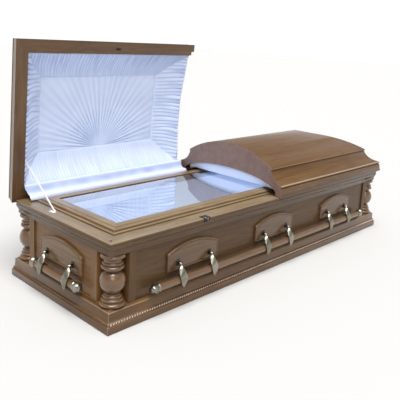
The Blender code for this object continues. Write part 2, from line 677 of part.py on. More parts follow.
def lid_stay(white):
    """The bar that holds the head lid open. It is pivoted on the lid and stands on a foot on the ledge."""
    open_angle = radians(LID_OPEN)
    along = Vector((0, -cos(open_angle), sin(open_angle)))
    up = Vector((0, sin(open_angle), cos(open_angle)))
    height = LID_REST - HINGE_Z + STAY_TOP_HEIGHT
    top = Vector((STAY_X, HINGE_Y, HINGE_Z)) + along * STAY_TOP_OUT + up * height
    run = Vector((0, STAY_FOOT_Y - top.y, STAY_FOOT_Z - top.z))
    slope = atan2(-run.z, -run.y)
    pivot = add_empty("lid_stay_pivot", top, (degrees(slope), 0, 0))
    strip = flat_bar(hypot(run.y, run.z), STAY_HALF_WIDTH, STAY_THICKNESS)
    bar = add_object("lid_stay", to_mesh("lid_stay", strip), white, pivot)
    reach = LID_HALF_X - LID_RIM_WIDTH - END_RAKE * 0.008 + STAY_X - GAP
    pin = helper("stay_pin", along_x(turned([(0.0020, 0), (0.0020, reach)], 10), flip=True))
    pin.parent = pivot
    boolean(bar, pin, "UNION")
    foot = bmesh.new()
    low, side = LEDGE_TOP + GAP, STAY_THICKNESS / 2 + 0.0006
    outline = [(-0.0210, 0), (side + 0.002, 0), (side + 0.002, 0.0090), (side, 0.0090)]
    outline += [(side, 0.0014), (-0.0210, 0.0014)]
    ends = (STAY_FOOT_Y - 0.018, STAY_FOOT_Y + 0.036)
    loft([[(STAY_X + x, y, low + z) for x, z in outline] for y in ends], bm=foot)
    add_object("lid_stay_foot", to_mesh("lid_stay_foot", foot), white)


def lid_apron(satin):
    """The satin flap that covers the hinges, from the head lid's rim down to the back of the glass frame."""
    x_low, x_high, thickness = -0.992, -0.020, 0.004
    face = [(0.3475, 0.424), (0.3415, 0.421), (0.3370, 0.413), (0.3330, 0.399), (0.3210, 0.388), (0.3090, 0.3815),
            (0.2990, 0.3835), (0.2905, 0.3820), (0.2860, 0.3740), (0.2850, 0.3640)]
    loops = []
    stations = 6
    for i in range(stations + 1):
        x = x_low + (x_high - x_low) * i / stations
        behind = []
        for k, (y, z) in enumerate(face):
            before, after = face[max(k - 1, 0)], face[min(k + 1, len(face) - 1)]
            along = Vector((after[0] - before[0], after[1] - before[1])).normalized()
            behind.append((y - along.y * thickness * 0.7, max(z + along.x * thickness, LEDGE_TOP + 0.0008)))
        loops.append([(x, y, z) for y, z in face + behind[::-1]])
    add_object("lid_apron", to_mesh("lid_apron", loft(loops)), satin)


def main():
    clear_scene()
    wood, wood_top = material("walnut stained wood", WOOD), material("walnut stained lid", WOOD_TOP)
    satin, glass = material("white satin", SATIN), material("clear glass", GLASS)
    brass, dark = material("antique brass", BRASS), material("dark metal", DARK_METAL)
    white = material("white painted metal", WHITE_METAL)
    body_shell(wood)
    base_moulding(wood)
    top_rim(wood)
    glass_frame(wood)
    glass_pane(glass)
    body_lining(satin)
    corner_posts(wood)
    raised_panels(wood)
    handles(wood, brass)
    head = lids(wood_top, satin)
    latch(dark, head)
    lid_stay(white)
    lid_apron(satin)


main()
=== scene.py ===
from math import asin, atan2, cos, exp, hypot, pi, radians, sin, sqrt

import bmesh
import bpy
import numpy as np
from mathutils import Matrix, Vector, noise


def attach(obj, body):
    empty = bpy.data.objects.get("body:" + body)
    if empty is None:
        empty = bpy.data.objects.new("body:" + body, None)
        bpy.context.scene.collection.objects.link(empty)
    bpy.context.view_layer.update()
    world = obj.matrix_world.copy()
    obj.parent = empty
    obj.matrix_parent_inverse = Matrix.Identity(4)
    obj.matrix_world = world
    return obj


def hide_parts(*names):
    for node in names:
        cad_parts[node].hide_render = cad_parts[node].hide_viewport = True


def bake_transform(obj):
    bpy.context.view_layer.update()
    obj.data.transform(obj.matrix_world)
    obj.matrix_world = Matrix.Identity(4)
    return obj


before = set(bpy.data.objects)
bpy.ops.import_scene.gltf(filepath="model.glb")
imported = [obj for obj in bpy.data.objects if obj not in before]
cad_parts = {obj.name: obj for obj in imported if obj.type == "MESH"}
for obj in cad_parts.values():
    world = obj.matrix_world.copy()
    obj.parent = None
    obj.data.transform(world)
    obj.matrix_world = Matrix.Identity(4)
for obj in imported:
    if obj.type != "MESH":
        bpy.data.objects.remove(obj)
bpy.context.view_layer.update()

# A wooden casket with its head lid open. Metres, +Z up, +X to the foot end, -Y to the front.

gap = 0.0003  # left between pieces that touch
hinge = Vector((0, 0.3535, 0.3615))
lidAngle = radians(85)
# carries a point of the shut lid to where it stands at rest
opened = Matrix.Translation(hinge) @ Matrix.Rotation(-lidAngle, 4, "X") @ Matrix.Translation(-hinge)


# small tools: selecting, shaping and finishing

def reset():
    if bpy.context.mode != "OBJECT":
        bpy.ops.object.mode_set(mode="OBJECT")
    bpy.ops.object.select_all(action="DESELECT")


def only(piece):
    reset()
    piece.select_set(True)
    bpy.context.view_layer.objects.active = piece


def named(name):
    piece = bpy.context.active_object
    piece.name = piece.data.name = name
    return piece


def edit(piece, everything=True):
    only(piece)
    bpy.ops.object.mode_set(mode="EDIT")
    bpy.ops.mesh.select_all(action="SELECT" if everything else "DESELECT")


def turnOut(piece):
    edit(piece)
    bpy.ops.mesh.remove_doubles(threshold=0.00001)
    bpy.ops.mesh.normals_make_consistent(inside=False)
    reset()


def settle(piece):  # puts the place of the object into its mesh
    only(piece)
    bpy.ops.object.transform_apply(location=True, rotation=True, scale=True)
    return piece


def modify(piece, kind, **settings):
    modifier = piece.modifiers.new(kind.lower(), kind)
    for name, value in settings.items():
        setattr(modifier, name, value)
    only(piece)
    bpy.ops.object.modifier_apply(modifier=modifier.name)
    return piece


def cutAway(piece, cutter):
    modify(piece, "BOOLEAN", object=cutter, operation="DIFFERENCE", solver="EXACT")
    discard(cutter)
    return piece


def ease(piece, width, segments=2, angle=40):  # rounds the arrises
    return modify(piece, "BEVEL", width=width, segments=segments, limit_method="ANGLE", angle_limit=radians(angle))


def shade(piece, angle=35):
    only(piece)
    bpy.ops.object.shade_smooth_by_angle(angle=radians(angle))
    return piece


def smooth(piece):
    only(piece)
    bpy.ops.object.shade_smooth()
    return piece


def at(x, y, z):
    return Matrix.Translation((x, y, z))


def move(piece, matrix):
    piece.data.transform(matrix)
    piece.data.update()
    return piece


def copied(piece, name, matrix):
    twin = piece.copy()
    twin.data = piece.data.copy()
    twin.name = twin.data.name = name
    bpy.context.collection.objects.link(twin)
    return move(twin, matrix)


def discard(piece):
    bpy.data.objects.remove(piece, do_unlink=True)


def joined(pieces, name):
    reset()
    for piece in pieces:
        piece.select_set(True)
    bpy.context.view_layer.objects.active = pieces[0]
    bpy.ops.object.join()
    return named(name)


def place(piece, bodyName, slotName, material, *nodes):  # on a body, for the nodes it replaces. slotName is not used
    piece.data.materials.clear()
    piece.data.materials.append(material)
    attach(piece, bodyName)
    if nodes:
        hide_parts(*nodes)
    return piece


def arc(centre, radius, start, end, count):
    step = (end - start) / (count - 1)
    return [(centre[0] + radius * cos(start + step * i), centre[1] + radius * sin(start + step * i))
            for i in range(count)]


def chordArc(first, last, sagitta, count):  # bulges by sagitta to the left of the way along
    across = Vector(last) - Vector(first)
    middle = (Vector(first) + Vector(last)) / 2
    left = Vector((-across.y, across.x)).normalized()
    radius = (across.length ** 2 / 4 + sagitta ** 2) / (2 * abs(sagitta))
    centre = middle - left * (radius - abs(sagitta)) * (1 if sagitta > 0 else -1)
    start = atan2(first[1] - centre.y, first[0] - centre.x)
    turn = 2 * asin(min(1, across.length / (2 * radius))) * (-1 if sagitta > 0 else 1)
    return arc(centre, radius, start, start + turn, count)


def raiseCourses(profile, halves):  # extrudes what is selected from each (out, z) to the next
    for (outA, zA), (outB, zB) in zip(profile, profile[1:]):
        bpy.ops.mesh.extrude_region_move(TRANSFORM_OT_translate={"value": (0, 0, zB - zA)})
        (xA, yA), (xB, yB) = halves(outA, zA), halves(outB, zB)
        bpy.ops.transform.resize(value=(xB / xA, yB / yA, 1), center_override=(0, 0, zB))


def mitredRun(name, half, profile):  # a moulding with a closed profile of (out, z), run round a rectangle
    def halves(out, z):
        return half[0] + out, half[1] + out
    reset()
    out, z = profile[0]
    bpy.ops.mesh.primitive_plane_add(size=2, location=(0, 0, z))
    piece = named(name)
    bpy.ops.object.mode_set(mode="EDIT")
    bpy.ops.transform.resize(value=(*halves(out, z), 1), center_override=(0, 0, z))
    bpy.ops.mesh.delete(type="ONLY_FACE")
    bpy.ops.mesh.select_all(action="SELECT")
    raiseCourses(profile + profile[:1], halves)
    turnOut(piece)
    return settle(piece)


def turnedPiece(name, profile, sides):  # (radius, z) points, from a disc that is extruded ring by ring
    reset()
    radius, z = profile[0]
    bpy.ops.mesh.primitive_circle_add(vertices=sides, radius=radius, fill_type="NGON", location=(0, 0, z))
    piece = named(name)
    bpy.ops.object.mode_set(mode="EDIT")
    raiseCourses(profile, lambda radius, z: (radius, radius))
    turnOut(piece)
    return settle(piece)


def block(name, low, high):
    reset()
    bpy.ops.mesh.primitive_cube_add(size=1, location=(Vector(low) + Vector(high)) / 2)
    piece = named(name)
    piece.scale = Vector(high) - Vector(low)
    return settle(piece)


def rod(name, radius, length, centre=(0, 0, 0), sides=40):  # lies along X
    reset()
    bpy.ops.mesh.primitive_cylinder_add(vertices=sides, radius=radius, depth=length, rotation=(0, pi / 2, 0),
                                        location=centre)
    return settle(named(name))


# small tools: cloth, as grids whose points a function places and whose faces then get a thickness

def cloth(name, columns, rows, shape, creaseShade=None):  # shape takes s and t from 0 to 1, and may fill each point's painted crease shade
    reset()
    bpy.ops.mesh.primitive_grid_add(x_subdivisions=columns, y_subdivisions=rows, size=1)
    piece = named(name)
    points = [shape(v.co.x + 0.5, v.co.y + 0.5) for v in piece.data.vertices]
    piece.data.vertices.foreach_set("co", np.array(points, np.float32).ravel())
    piece.data.update()
    if creaseShade:  # painted shade: 0 on a ridge to 1 in a crease, for each point
        layer = piece.data.attributes.new("fold", "FLOAT", "POINT")
        layer.data.foreach_set("value", np.array(creaseShade, np.float32))
    return piece


def faceTowards(piece, direction=None):  # turns a sheet's faces this way, or else towards the upright axis
    edit(piece)
    agreed = 0
    for face in bmesh.from_edit_mesh(piece.data).faces:
        centre = face.calc_center_median()
        agreed += face.normal.dot(Vector(direction or (-centre.x, -centre.y, 0))) * face.calc_area()
    if agreed < 0:
        bpy.ops.mesh.flip_normals()
    reset()


def thicken(piece, thickness, offset=-1):
    return smooth(modify(piece, "SOLIDIFY", thickness=thickness, offset=offset, use_rim=True))


def waver(x, y, z):
    return noise.noise(Vector((x, y, z)))


def clamp(value):
    return min(1.0, max(0.0, value))


def ridged(phase, sharp):  # rounded tops with narrow creases between
    return abs(sin(pi * phase)) ** sharp


def smoothCurve(points, count):  # evenly spaced points on a curve through these
    dense = []
    for i in range(len(points) - 1):
        p = [Vector(points[min(max(k, 0), len(points) - 1)]) for k in (i - 1, i, i + 1, i + 2)]
        for k in range(12):
            t = k / 12
            dense.append(0.5 * (2 * p[1] + (p[2] - p[0]) * t + (2 * p[0] - 5 * p[1] + 4 * p[2] - p[3]) * t ** 2
                                + (3 * p[1] - p[0] - 3 * p[2] + p[3]) * t ** 3))
    dense.append(Vector(points[-1]))
    reach = np.concatenate([[0], np.cumsum([(b - a).length for a, b in zip(dense, dense[1:])])])
    wanted = np.linspace(0, reach[-1], count)
    across, up = [np.interp(wanted, reach, [p[axis] for p in dense]) for axis in (0, 1)]
    return [(float(a), float(b)) for a, b in zip(across, up)]


# materials: values of the shader as Python expressions

class Value:
    def __init__(self, tree, socket):
        self.tree, self.socket = tree, socket

    def maths(self, operation, other, flipped=False):
        ends = (other, self) if flipped else (self, other)
        return Nodes(self.tree).node("Math", {"operation": operation}, i0=ends[0], i1=ends[1])

    def __add__(self, other): return self.maths("ADD", other)
    def __radd__(self, other): return self.maths("ADD", other, True)
    def __sub__(self, other): return self.maths("SUBTRACT", other)
    def __rsub__(self, other): return self.maths("SUBTRACT", other, True)
    def __mul__(self, other): return self.maths("MULTIPLY", other)
    def __gt__(self, other): return self.maths("GREATER_THAN", other)
    def __lt__(self, other): return self.maths("LESS_THAN", other)
    def __abs__(self): return self.maths("ABSOLUTE", 0)


def blend(share, first, second):
    return first + share * (second - first)


class Nodes:
    def __init__(self, tree):
        self.tree = tree

    def node(self, kind, settings=None, out=0, **ends):  # i0, i1 and so on name a socket by its number
        node = self.tree.nodes.new("ShaderNode" + kind)
        for name, value in (settings or {}).items():
            if name == "stops":
                ramp = node.color_ramp.elements
                while len(ramp) < len(value):
                    ramp.new(0.5)
                for element, (position, colour) in zip(ramp, value):
                    element.position = position
                    element.color = colour if hasattr(colour, "__len__") else (colour,) * 3 + (1,)
            else:
                setattr(node, name, value)
        for name, end in ends.items():
            numbered = name[0] == "i" and name[1:].isdigit()
            socket = node.inputs[int(name[1:]) if numbered else name.replace("_", " ")]
            if isinstance(end, Value):
                self.tree.links.new(end.socket, socket)
            else:
                socket.default_value = end
        return Value(self.tree, node.outputs[out])

    def split(self, vector):
        outputs = self.node("SeparateXYZ", Vector=vector).socket.node.outputs
        return [Value(self.tree, output) for output in outputs]


class Finish(Nodes):
    def __init__(self, name, **constants):
        self.material = bpy.data.materials.new(name)
        self.material.use_nodes = True
        super().__init__(self.material.node_tree)
        self.shader = self.tree.nodes["Principled BSDF"]
        for socket, value in constants.items():
            self.shader.inputs[socket.replace("_", " ")].default_value = value
        self.object = self.node("TexCoord", out="Object")

    def cloud(self, vector, scale, detail, **settings):
        return self.node("TexNoise", Vector=vector, Scale=scale, Detail=detail, **settings)

    def feed(self, socket, value):
        self.tree.links.new(value.socket, self.shader.inputs[socket])

    def mix(self, share, first, second, blend="MIX"):
        return self.node("Mix", {"data_type": "RGBA", "blend_type": blend}, out=2, i0=share, i6=first, i7=second)

    def bump(self, height, distance, strength=1.0):
        self.feed("Normal", self.node("Bump", Height=height, Distance=distance, Strength=strength))


woodLook = dict(dark=(0.036, 0.0165, 0.006, 1), mid=(0.08, 0.041, 0.0155, 1), light=(0.128, 0.07, 0.028, 1),
                # after joint come a painted shade for a lid's fascia and a painted highlight for arrises and beads
                joint=(0.012, 0.006, 0.003, 1), shade=(0.01, 0.006, 0.004, 1), highlightTone=(0.4, 0.3, 0.21, 1),
                roughness=0.3, paintedHighlight=0.3, mitre=0.684,  # then where stiles, niches and ends begin: x, y and z
                stile=(0.899, 0.215), niche=(0.9318, 0.2518, 0.302), end=1.0)
lidLook = dict(stain=(1.32, 1.23, 0.92), brow=0.415, rimHalf=(1.048, 0.364),
               board=((0.235, 0.152, 0.126, 1), (0.135, 0.083, 0.066, 1)),
               paintedHighlight=((0.418, 0.0026, 0.62), (0.494, 0.001, 0.3)))  # height, half width and share of each painted highlight line


def woodFinish(name, grain, turned=None, tint=None, ends=None, crown=None, face=None, gloss=0.3, sheen=0.35,
               paintedHighlight=()):
    # ends: the tint of what runs along the two ends. crown: the tint of a lid's top
    # face: x of a lid's cut end and its direction. The last: height, half width and share of each painted highlight
    # line
    finish = Finish(name, Coat_Roughness=0.07, Specular_IOR_Level=sheen)
    position = finish.object
    if turned:
        back = turned.inverted()
        position = finish.node("Mapping", Vector=position, Location=back.translation, Rotation=back.to_euler())
    x, y, z = finish.split(position)
    along, across, depth = x, y, z
    joint = isFace = stainAndPaintedLight = None
    if grain == "mitred":  # rails along X, and end rails along Y beyond each mitre
        edge = abs(x) - abs(y) - woodLook["mitre"]
        isEnd = edge > 0
        along, across = blend(isEnd, x, y), blend(isEnd, y, x)
        along = along + isEnd * 3.7
        joint = abs(edge) < 0.0004
    elif grain == "framed":  # upright stiles at the corners
        (stileX, stileY), (nicheX, nicheY, nicheTop) = woodLook["stile"], woodLook["niche"]
        isStile = (abs(x) > stileX) * (abs(y) > stileY)
        isEnd = (abs(x) > woodLook["end"]) * (1 - isStile)
        flat = blend(isEnd, x, y) + isEnd * 2.3
        along, across = blend(isStile, flat, z), blend(isEnd, y, x)
        depth = blend(isStile, z, x + y)
        # painted light: the niches round the posts are lightened against their own shade, and the end boards are
        # lightened for the light and sheen they catch
        niche = (abs(x) > nicheX) * (abs(y) > nicheY) * (z < nicheTop)
        stainAndPaintedLight = [1.0 + niche * 0.9 + (abs(x) > woodLook["end"]) * 0.95] * 3
    else:
        along, across, depth = {"x": (x, y, z), "y": (y, x, z), "z": (z, x, y)}[grain]
    if ends:
        stainAndPaintedLight = [share + (abs(x) > 1.0452) * (end - share) for share, end in zip(tint, ends)]
    elif crown:
        stainAndPaintedLight = [share + (z > lidLook["brow"]) * (top - share) for share, top in zip(tint, crown)]
    elif grain == "mitred" and not tint:  # painted light: the upward faces are lightened, standing in for the light and sky reflection on them
        litTop = finish.split(finish.node("NewGeometry", out="Normal"))[2] > 0.8
        stainAndPaintedLight = [1.0 + litTop * share for share in (1.36, 2.25, 3.55)]
    if face:  # the cut end shows an upright board with a short grain
        isFace = ((x - face[0]) * face[1]) < 0.0012
        along, across = blend(isFace, along, z), blend(isFace, across, y)
        depth = blend(isFace, depth, x)

    def stretched(length, width):
        return finish.node("CombineXYZ", X=along * length, Y=across * width, Z=depth * width)

    figure = finish.cloud(stretched(0.9, 8.0), 1.5, 3.0, Roughness=0.5, Distortion=0.4)
    rings = (figure * 52.0).maths("SINE", 0)
    streak = finish.cloud(stretched(3.5, 210.0), 1.0, 4.0, Roughness=0.62)
    pores = finish.cloud(stretched(26.0, 1000.0), 1.0, 2.0, Roughness=0.5)
    patches = finish.cloud(stretched(1.3, 4.0), 1.0, 2.0)
    value = rings * 0.055 + (streak - 0.5) * 0.6 + (patches - 0.5) * 0.3 + 0.5
    stops = [(0.18, woodLook["dark"]), (0.5, woodLook["mid"]), (0.84, woodLook["light"])]
    colour = finish.node("ValToRGB", {"stops": stops}, Fac=value)
    pore = pores < 0.41
    colour = finish.mix(pore * 0.38, colour, woodLook["dark"])
    if joint:
        colour = finish.mix(joint * 0.6, colour, woodLook["joint"])
    # painted highlight on the base's mitred corners
    if paintedHighlight and not face:
        colour = finish.mix((abs(edge) < 0.0016) * (z < 0.088) * woodLook["paintedHighlight"], colour, woodLook["highlightTone"])
    if stainAndPaintedLight:
        colour = finish.mix(1.0, colour, finish.node("CombineXYZ", X=stainAndPaintedLight[0], Y=stainAndPaintedLight[1], Z=stainAndPaintedLight[2]), "MULTIPLY")
    elif tint:
        colour = finish.mix(1.0, colour, (*tint, 1), "MULTIPLY")
    if face:  # painted shade: a lid's fascia below the brow is darkened, all but its rim
        isRim = (abs(y) < lidLook["rimHalf"][1]) * (abs(x) < lidLook["rimHalf"][0])
        colour = finish.mix((z < lidLook["brow"]) * (1 - isRim) * 0.34, colour, woodLook["shade"])
    for high, wide, share in paintedHighlight:  # painted highlight along arrises and beads
        colour = finish.mix((abs(z - high) < wide) * share, colour, woodLook["highlightTone"])
    if isFace:
        mottle = finish.cloud(position, 26.0, 5.0, Roughness=0.65)
        share = streak * 0.4 + (mottle - 0.42) * 1.6 + pore * 0.3
        colour = finish.mix(isFace, colour, finish.mix(share, *lidLook["board"]))
    finish.feed("Base Color", colour)
    finish.feed("Coat Weight", gloss - pore * gloss * 0.6)
    finish.feed("Roughness", woodLook["roughness"] + (streak - 0.5) * 0.14 + pore * 0.1)
    finish.bump(streak * 0.4 - pore * 0.6, 0.0001, 0.45)
    return finish.material


def satinFinish(name, low=(0.62, 0.71, 0.93, 1), high=(0.72, 0.8, 0.99, 1), roughness=0.34, shadesCreases=False, glow=0.0):
    finish = Finish(name, Sheen_Weight=0.15, Sheen_Roughness=0.35, Specular_IOR_Level=0.5, Emission_Strength=glow)
    soft, weave, creases = [finish.cloud(finish.object, *size) for size in ((11.0, 2.0), (1800.0, 1.0), (70.0, 3.0))]
    colour = finish.mix(soft, low, high)
    if shadesCreases:  # painted shade in the creases: the depth of each fold, kept on the mesh, darkens the colour towards blue-grey
        fold = finish.node("Attribute", {"attribute_name": "fold"}, out="Fac")
        colour = finish.mix(fold, colour, (0.21, 0.28, 0.5, 1))
    finish.feed("Base Color", colour)
    if glow:  # painted light: the fabric glows, standing in for the light it would get and hand on inside the closed box
        finish.feed("Emission Color", colour)
    finish.feed("Roughness", roughness + (soft - 0.5) * 0.12)
    finish.bump(weave * 0.06 + creases * 0.6, 0.0006, 0.5)
    return finish.material


def metalFinish(name, low, high, roughness, metallic=1.0, scale=90.0, rough=1.0, spread=(0.28, 0.74)):
    finish = Finish(name, Metallic=metallic)
    tarnish = finish.cloud(finish.object, scale, 5.0, Roughness=0.6)
    fine = finish.cloud(finish.object, scale * 7, 3.0)
    share = finish.node("ValToRGB", {"stops": [(spread[0], 0.0), (spread[1], 1.0)]}, Fac=tarnish)
    finish.feed("Base Color", finish.mix(share, low, high))
    finish.feed("Roughness", roughness + (tarnish - 0.5) * (0.18 * rough) + (fine - 0.5) * (0.06 * rough))
    finish.bump(fine, 0.00008 * rough, 0.3)
    return finish.material


def glassFinish(name):
    finish = Finish(name)
    clear = finish.node("BsdfTransparent", Color=(0.92, 0.96, 0.98, 1))
    mirror = finish.node("BsdfGlossy", Color=(0.92, 0.95, 1.0, 1), Roughness=0.012)
    bend = finish.node("Fresnel", IOR=1.5)
    outside = 1 - finish.node("NewGeometry", out="Backfacing")  # only the faces that are met first reflect
    mixed = finish.node("MixShader", i0=(bend * 0.9 + 0.48) * outside, i1=clear, i2=mirror)
    output = next(node for node in finish.tree.nodes if node.type == "OUTPUT_MATERIAL")
    finish.tree.links.new(mixed.socket, output.inputs["Surface"])
    finish.tree.nodes.remove(finish.shader)
    return finish.material


print("materials")
mitredWood = woodFinish("mitredWood", "mitred", paintedHighlight=((0.359, 0.0012, 0.3),))
framedWood = woodFinish("framedWood", "framed", gloss=0.1, sheen=0.25)
turnedWood = woodFinish("turnedWood", "z", tint=(1.5, 1.28, 0.78), gloss=1.0, sheen=0.6)
panelWood = woodFinish("panelWood", "x", tint=(1.15, 1.08, 0.95), gloss=0.6, sheen=0.45)
barWood = woodFinish("barWood", "x", tint=(1.42, 1.38, 1.38), gloss=0.8, sheen=0.6)
# painted light: the ends' bars and panels are lighter copies, standing in for the light and sheen the ends catch
litEndBarWood = woodFinish("litEndBarWood", "y", tint=(1.6, 1.55, 1.5), gloss=0.7, sheen=0.5)
litEndPanelWood = woodFinish("litEndPanelWood", "y", tint=(1.72, 1.88, 1.98), gloss=0.45)
footLidWood = woodFinish("footLidWood", "mitred", tint=lidLook["stain"], face=(0.0055, 1), gloss=0.2, sheen=0.3,
                         paintedHighlight=lidLook["paintedHighlight"])
headLidWood = woodFinish("headLidWood", "mitred", turned=opened, tint=(1.36, 1.36, 1.42), crown=lidLook["stain"],
                         face=(0.0025, -1), gloss=0.25, paintedHighlight=lidLook["paintedHighlight"])
# painted light: the tray's satin glows
traySatin = satinFinish("traySatin", (0.66, 0.72, 0.86, 1), (0.76, 0.81, 0.94, 1), glow=0.42)
foldedSatin = satinFinish("foldedSatin", shadesCreases=True)
brass = metalFinish("brass", (0.19, 0.178, 0.14, 1), (0.37, 0.345, 0.28, 1), 0.25, scale=14.0, rough=0.15)
tipBrass = metalFinish("tipBrass", (0.25, 0.243, 0.21, 1), (0.41, 0.395, 0.345, 1), 0.28, scale=14.0, rough=0.15)
darkMetal = metalFinish("darkMetal", (0.03, 0.025, 0.022, 1), (0.12, 0.1, 0.09, 1), 0.35)
whiteEnamel = metalFinish("whiteEnamel", (0.74, 0.74, 0.76, 1), (0.84, 0.84, 0.86, 1), 0.3, metallic=0.0)
glass = glassFinish("glass")
# painted glints: sharp pale patches in the keeper's base colour
glintPaintedSteel = metalFinish("glintPaintedSteel", (0.03, 0.022, 0.025, 1), (0.6, 0.56, 0.56, 1), 0.25, scale=60.0,
                          spread=(0.5, 0.66))
catchSteel = metalFinish("catchSteel", (0.45, 0.44, 0.42, 1), (0.75, 0.74, 0.72, 1), 0.22)


# the floor, the light and the camera

studio = dict(sky=0.5, horizon=1.05, floor=0.5,
              lamps={"overhead": ((-0.12, -0.18, 1.0), 40, 4.4, (1.0, 0.985, 0.95)),
                     "front": ((-0.75, -1.0, 0.85), 30, 0.55, (1.0, 0.97, 0.93))})
view = dict(place=(-2.25342, -1.95263, 1.14033), right=(0.68659, -0.72491, 0.05562), up=(0.11505, 0.18386, 0.9762),
            lens=51.19, shift=(-0.0241, -0.1089))


def makeStage():
    reset()
    bpy.context.scene.view_settings.view_transform = "Standard"
    bpy.ops.mesh.primitive_plane_add(size=60, location=(0, 0, -0.0002))
    ground = named("ground")
    paper = Finish("paper", Roughness=0.95, Base_Color=(studio["floor"],) * 3 + (1,))
    ground.data.materials.append(paper.material)
    world = bpy.data.worlds.new("studio")
    bpy.context.scene.world = world
    world.use_nodes = True
    sky = Nodes(world.node_tree)
    up = sky.split(sky.node("TexCoord", out="Generated"))[2]
    stops = [(0.1, studio["horizon"]), (0.24, (studio["sky"], studio["sky"] * 1.02, studio["sky"] * 1.06, 1))]
    colour = sky.node("ValToRGB", {"stops": stops}, Fac=up)  # a white horizon under a softer sky
    sky.tree.links.new(colour.socket, sky.tree.nodes["Background"].inputs[0])
    for name, (source, angle, strength, colour) in studio["lamps"].items():
        bpy.ops.object.light_add(type="SUN", location=Vector(source) * 4)
        lamp = bpy.context.active_object
        lamp.name = lamp.data.name = name
        lamp.data.energy, lamp.data.color, lamp.data.angle = strength, colour, radians(angle)
        lamp.rotation_euler = Vector(source).to_track_quat("Z", "Y").to_euler()


def makeCamera():
    bpy.ops.object.camera_add(location=view["place"])
    camera = bpy.context.active_object
    right, up = Vector(view["right"]).normalized(), Vector(view["up"])
    up = (up - right * up.dot(right)).normalized()
    camera.rotation_euler = Matrix((right, up, right.cross(up))).transposed().to_euler()
    camera.data.sensor_width, camera.data.lens = 36, view["lens"]
    camera.data.shift_x, camera.data.shift_y = view["shift"]
    bpy.context.scene.camera = camera


makeStage()
makeCamera()


# the box: boards, base moulding with its carved rope, cornice and glass frame

body = dict(baseHalf=(1.05, 0.367), ledgeHalf=(1.032, 0.352), frameHalf=(0.967, 0.282), wallY=0.342, plinthTop=0.09,
            notchTop=0.303, ledgeTop=0.3603, rimBoard=0.018, openingY=0.204, frameTop=0.381, glassRest=0.37,
            glassY=0.2115, catchSlot=((-0.523, -0.3365), (-0.507, -0.3275)))
rope = dict(strand=(0.005, 0.0046, 0.0023), twist=radians(-50), pitch=0.013, high=0.0386, sunk=0.0044, ends=0.0052)


def baseMoulding():
    inner = body["wallY"] + gap - body["baseHalf"][1]
    profile = [(inner, 0), (-0.002, 0), (0, 0.003), (0, 0.0315), (-0.003, 0.0325), (-0.0042, 0.0345)]
    profile += [(-0.0046, 0.0386), (-0.0042, 0.0426), (-0.007, 0.044), (-0.0095, 0.0452)]
    profile += chordArc((-0.0095, 0.0452), (-0.0115, 0.0785), 0.0005, 5)[1:]
    profile += arc((-0.0165, 0.0785), 0.005, 0, 1.25, 8)[1:]
    profile += [(inner, body["plinthTop"])]
    piece = mitredRun("baseMoulding", body["baseHalf"], profile)
    place(shade(ease(piece, 0.0007)), "casket", "wood", baseWood, "base_moulding")


def carvedRope():  # one twisted strand, repeated along each side
    reset()
    bpy.ops.mesh.primitive_uv_sphere_add(segments=10, ring_count=6, radius=1, location=(0, 0, 0))
    strand = named("strand")
    strand.scale = rope["strand"]
    settle(strand)
    strand.rotation_euler = (0, rope["twist"], 0)
    settle(strand)
    runs, pitch = [], rope["pitch"]
    for half, turn in ((0, 0), (0, 180), (1, 90), (1, 270)):
        count = int(2 * (body["baseHalf"][half] - rope["ends"]) / pitch)
        run = copied(strand, "run", at(-(count - 1) * pitch / 2, 0, 0))
        modify(run, "ARRAY", count=count, use_relative_offset=False, use_constant_offset=True,
               constant_offset_displace=(pitch, 0, 0))
        spin, out = Matrix.Rotation(radians(turn), 4, "Z"), rope["sunk"] - body["baseHalf"][1 - half]
        runs.append(move(run, at(0, 0, rope["high"]) @ spin @ at(0, out, 0)))
    discard(strand)
    place(smooth(joined(runs, "carvedRope")), "casket", "wood", highlightTintedRope)


def cornice():
    top, inner = body["ledgeTop"], body["openingY"] + 0.005 - body["ledgeHalf"][1]
    under, wall = top - body["rimBoard"], body["wallY"] + gap - body["ledgeHalf"][1]
    profile = [(inner, under), (inner, top), (-0.004, top)]
    profile += arc((-0.004, top - 0.004), 0.004, pi / 2, 0, 6)[1:]
    profile += [(0, 0.349), (-0.0024, 0.3482), (-0.0024, 0.3466), (-0.0006, 0.3458)]
    profile += [(-0.0006, 0.3345)] + chordArc((-0.0006, 0.3345), (-0.0034, 0.3325), 0.0005, 3)[1:] + [(-0.003, 0.329)]
    profile += chordArc((-0.003, 0.329), (-0.0075, 0.3085), -0.0026, 9)[1:]
    profile += [(-0.0075, body["notchTop"] + gap), (wall, body["notchTop"] + gap), (wall, under)]
    piece = mitredRun("cornice", body["ledgeHalf"], profile)
    slotLow, slotHigh = body["catchSlot"]
    cutAway(piece, block("slot", (*slotLow, top - 0.0125), (*slotHigh, top + 0.02)))
    place(shade(ease(piece, 0.0006)), "casket", "wood", mitredWood, "top_rim")


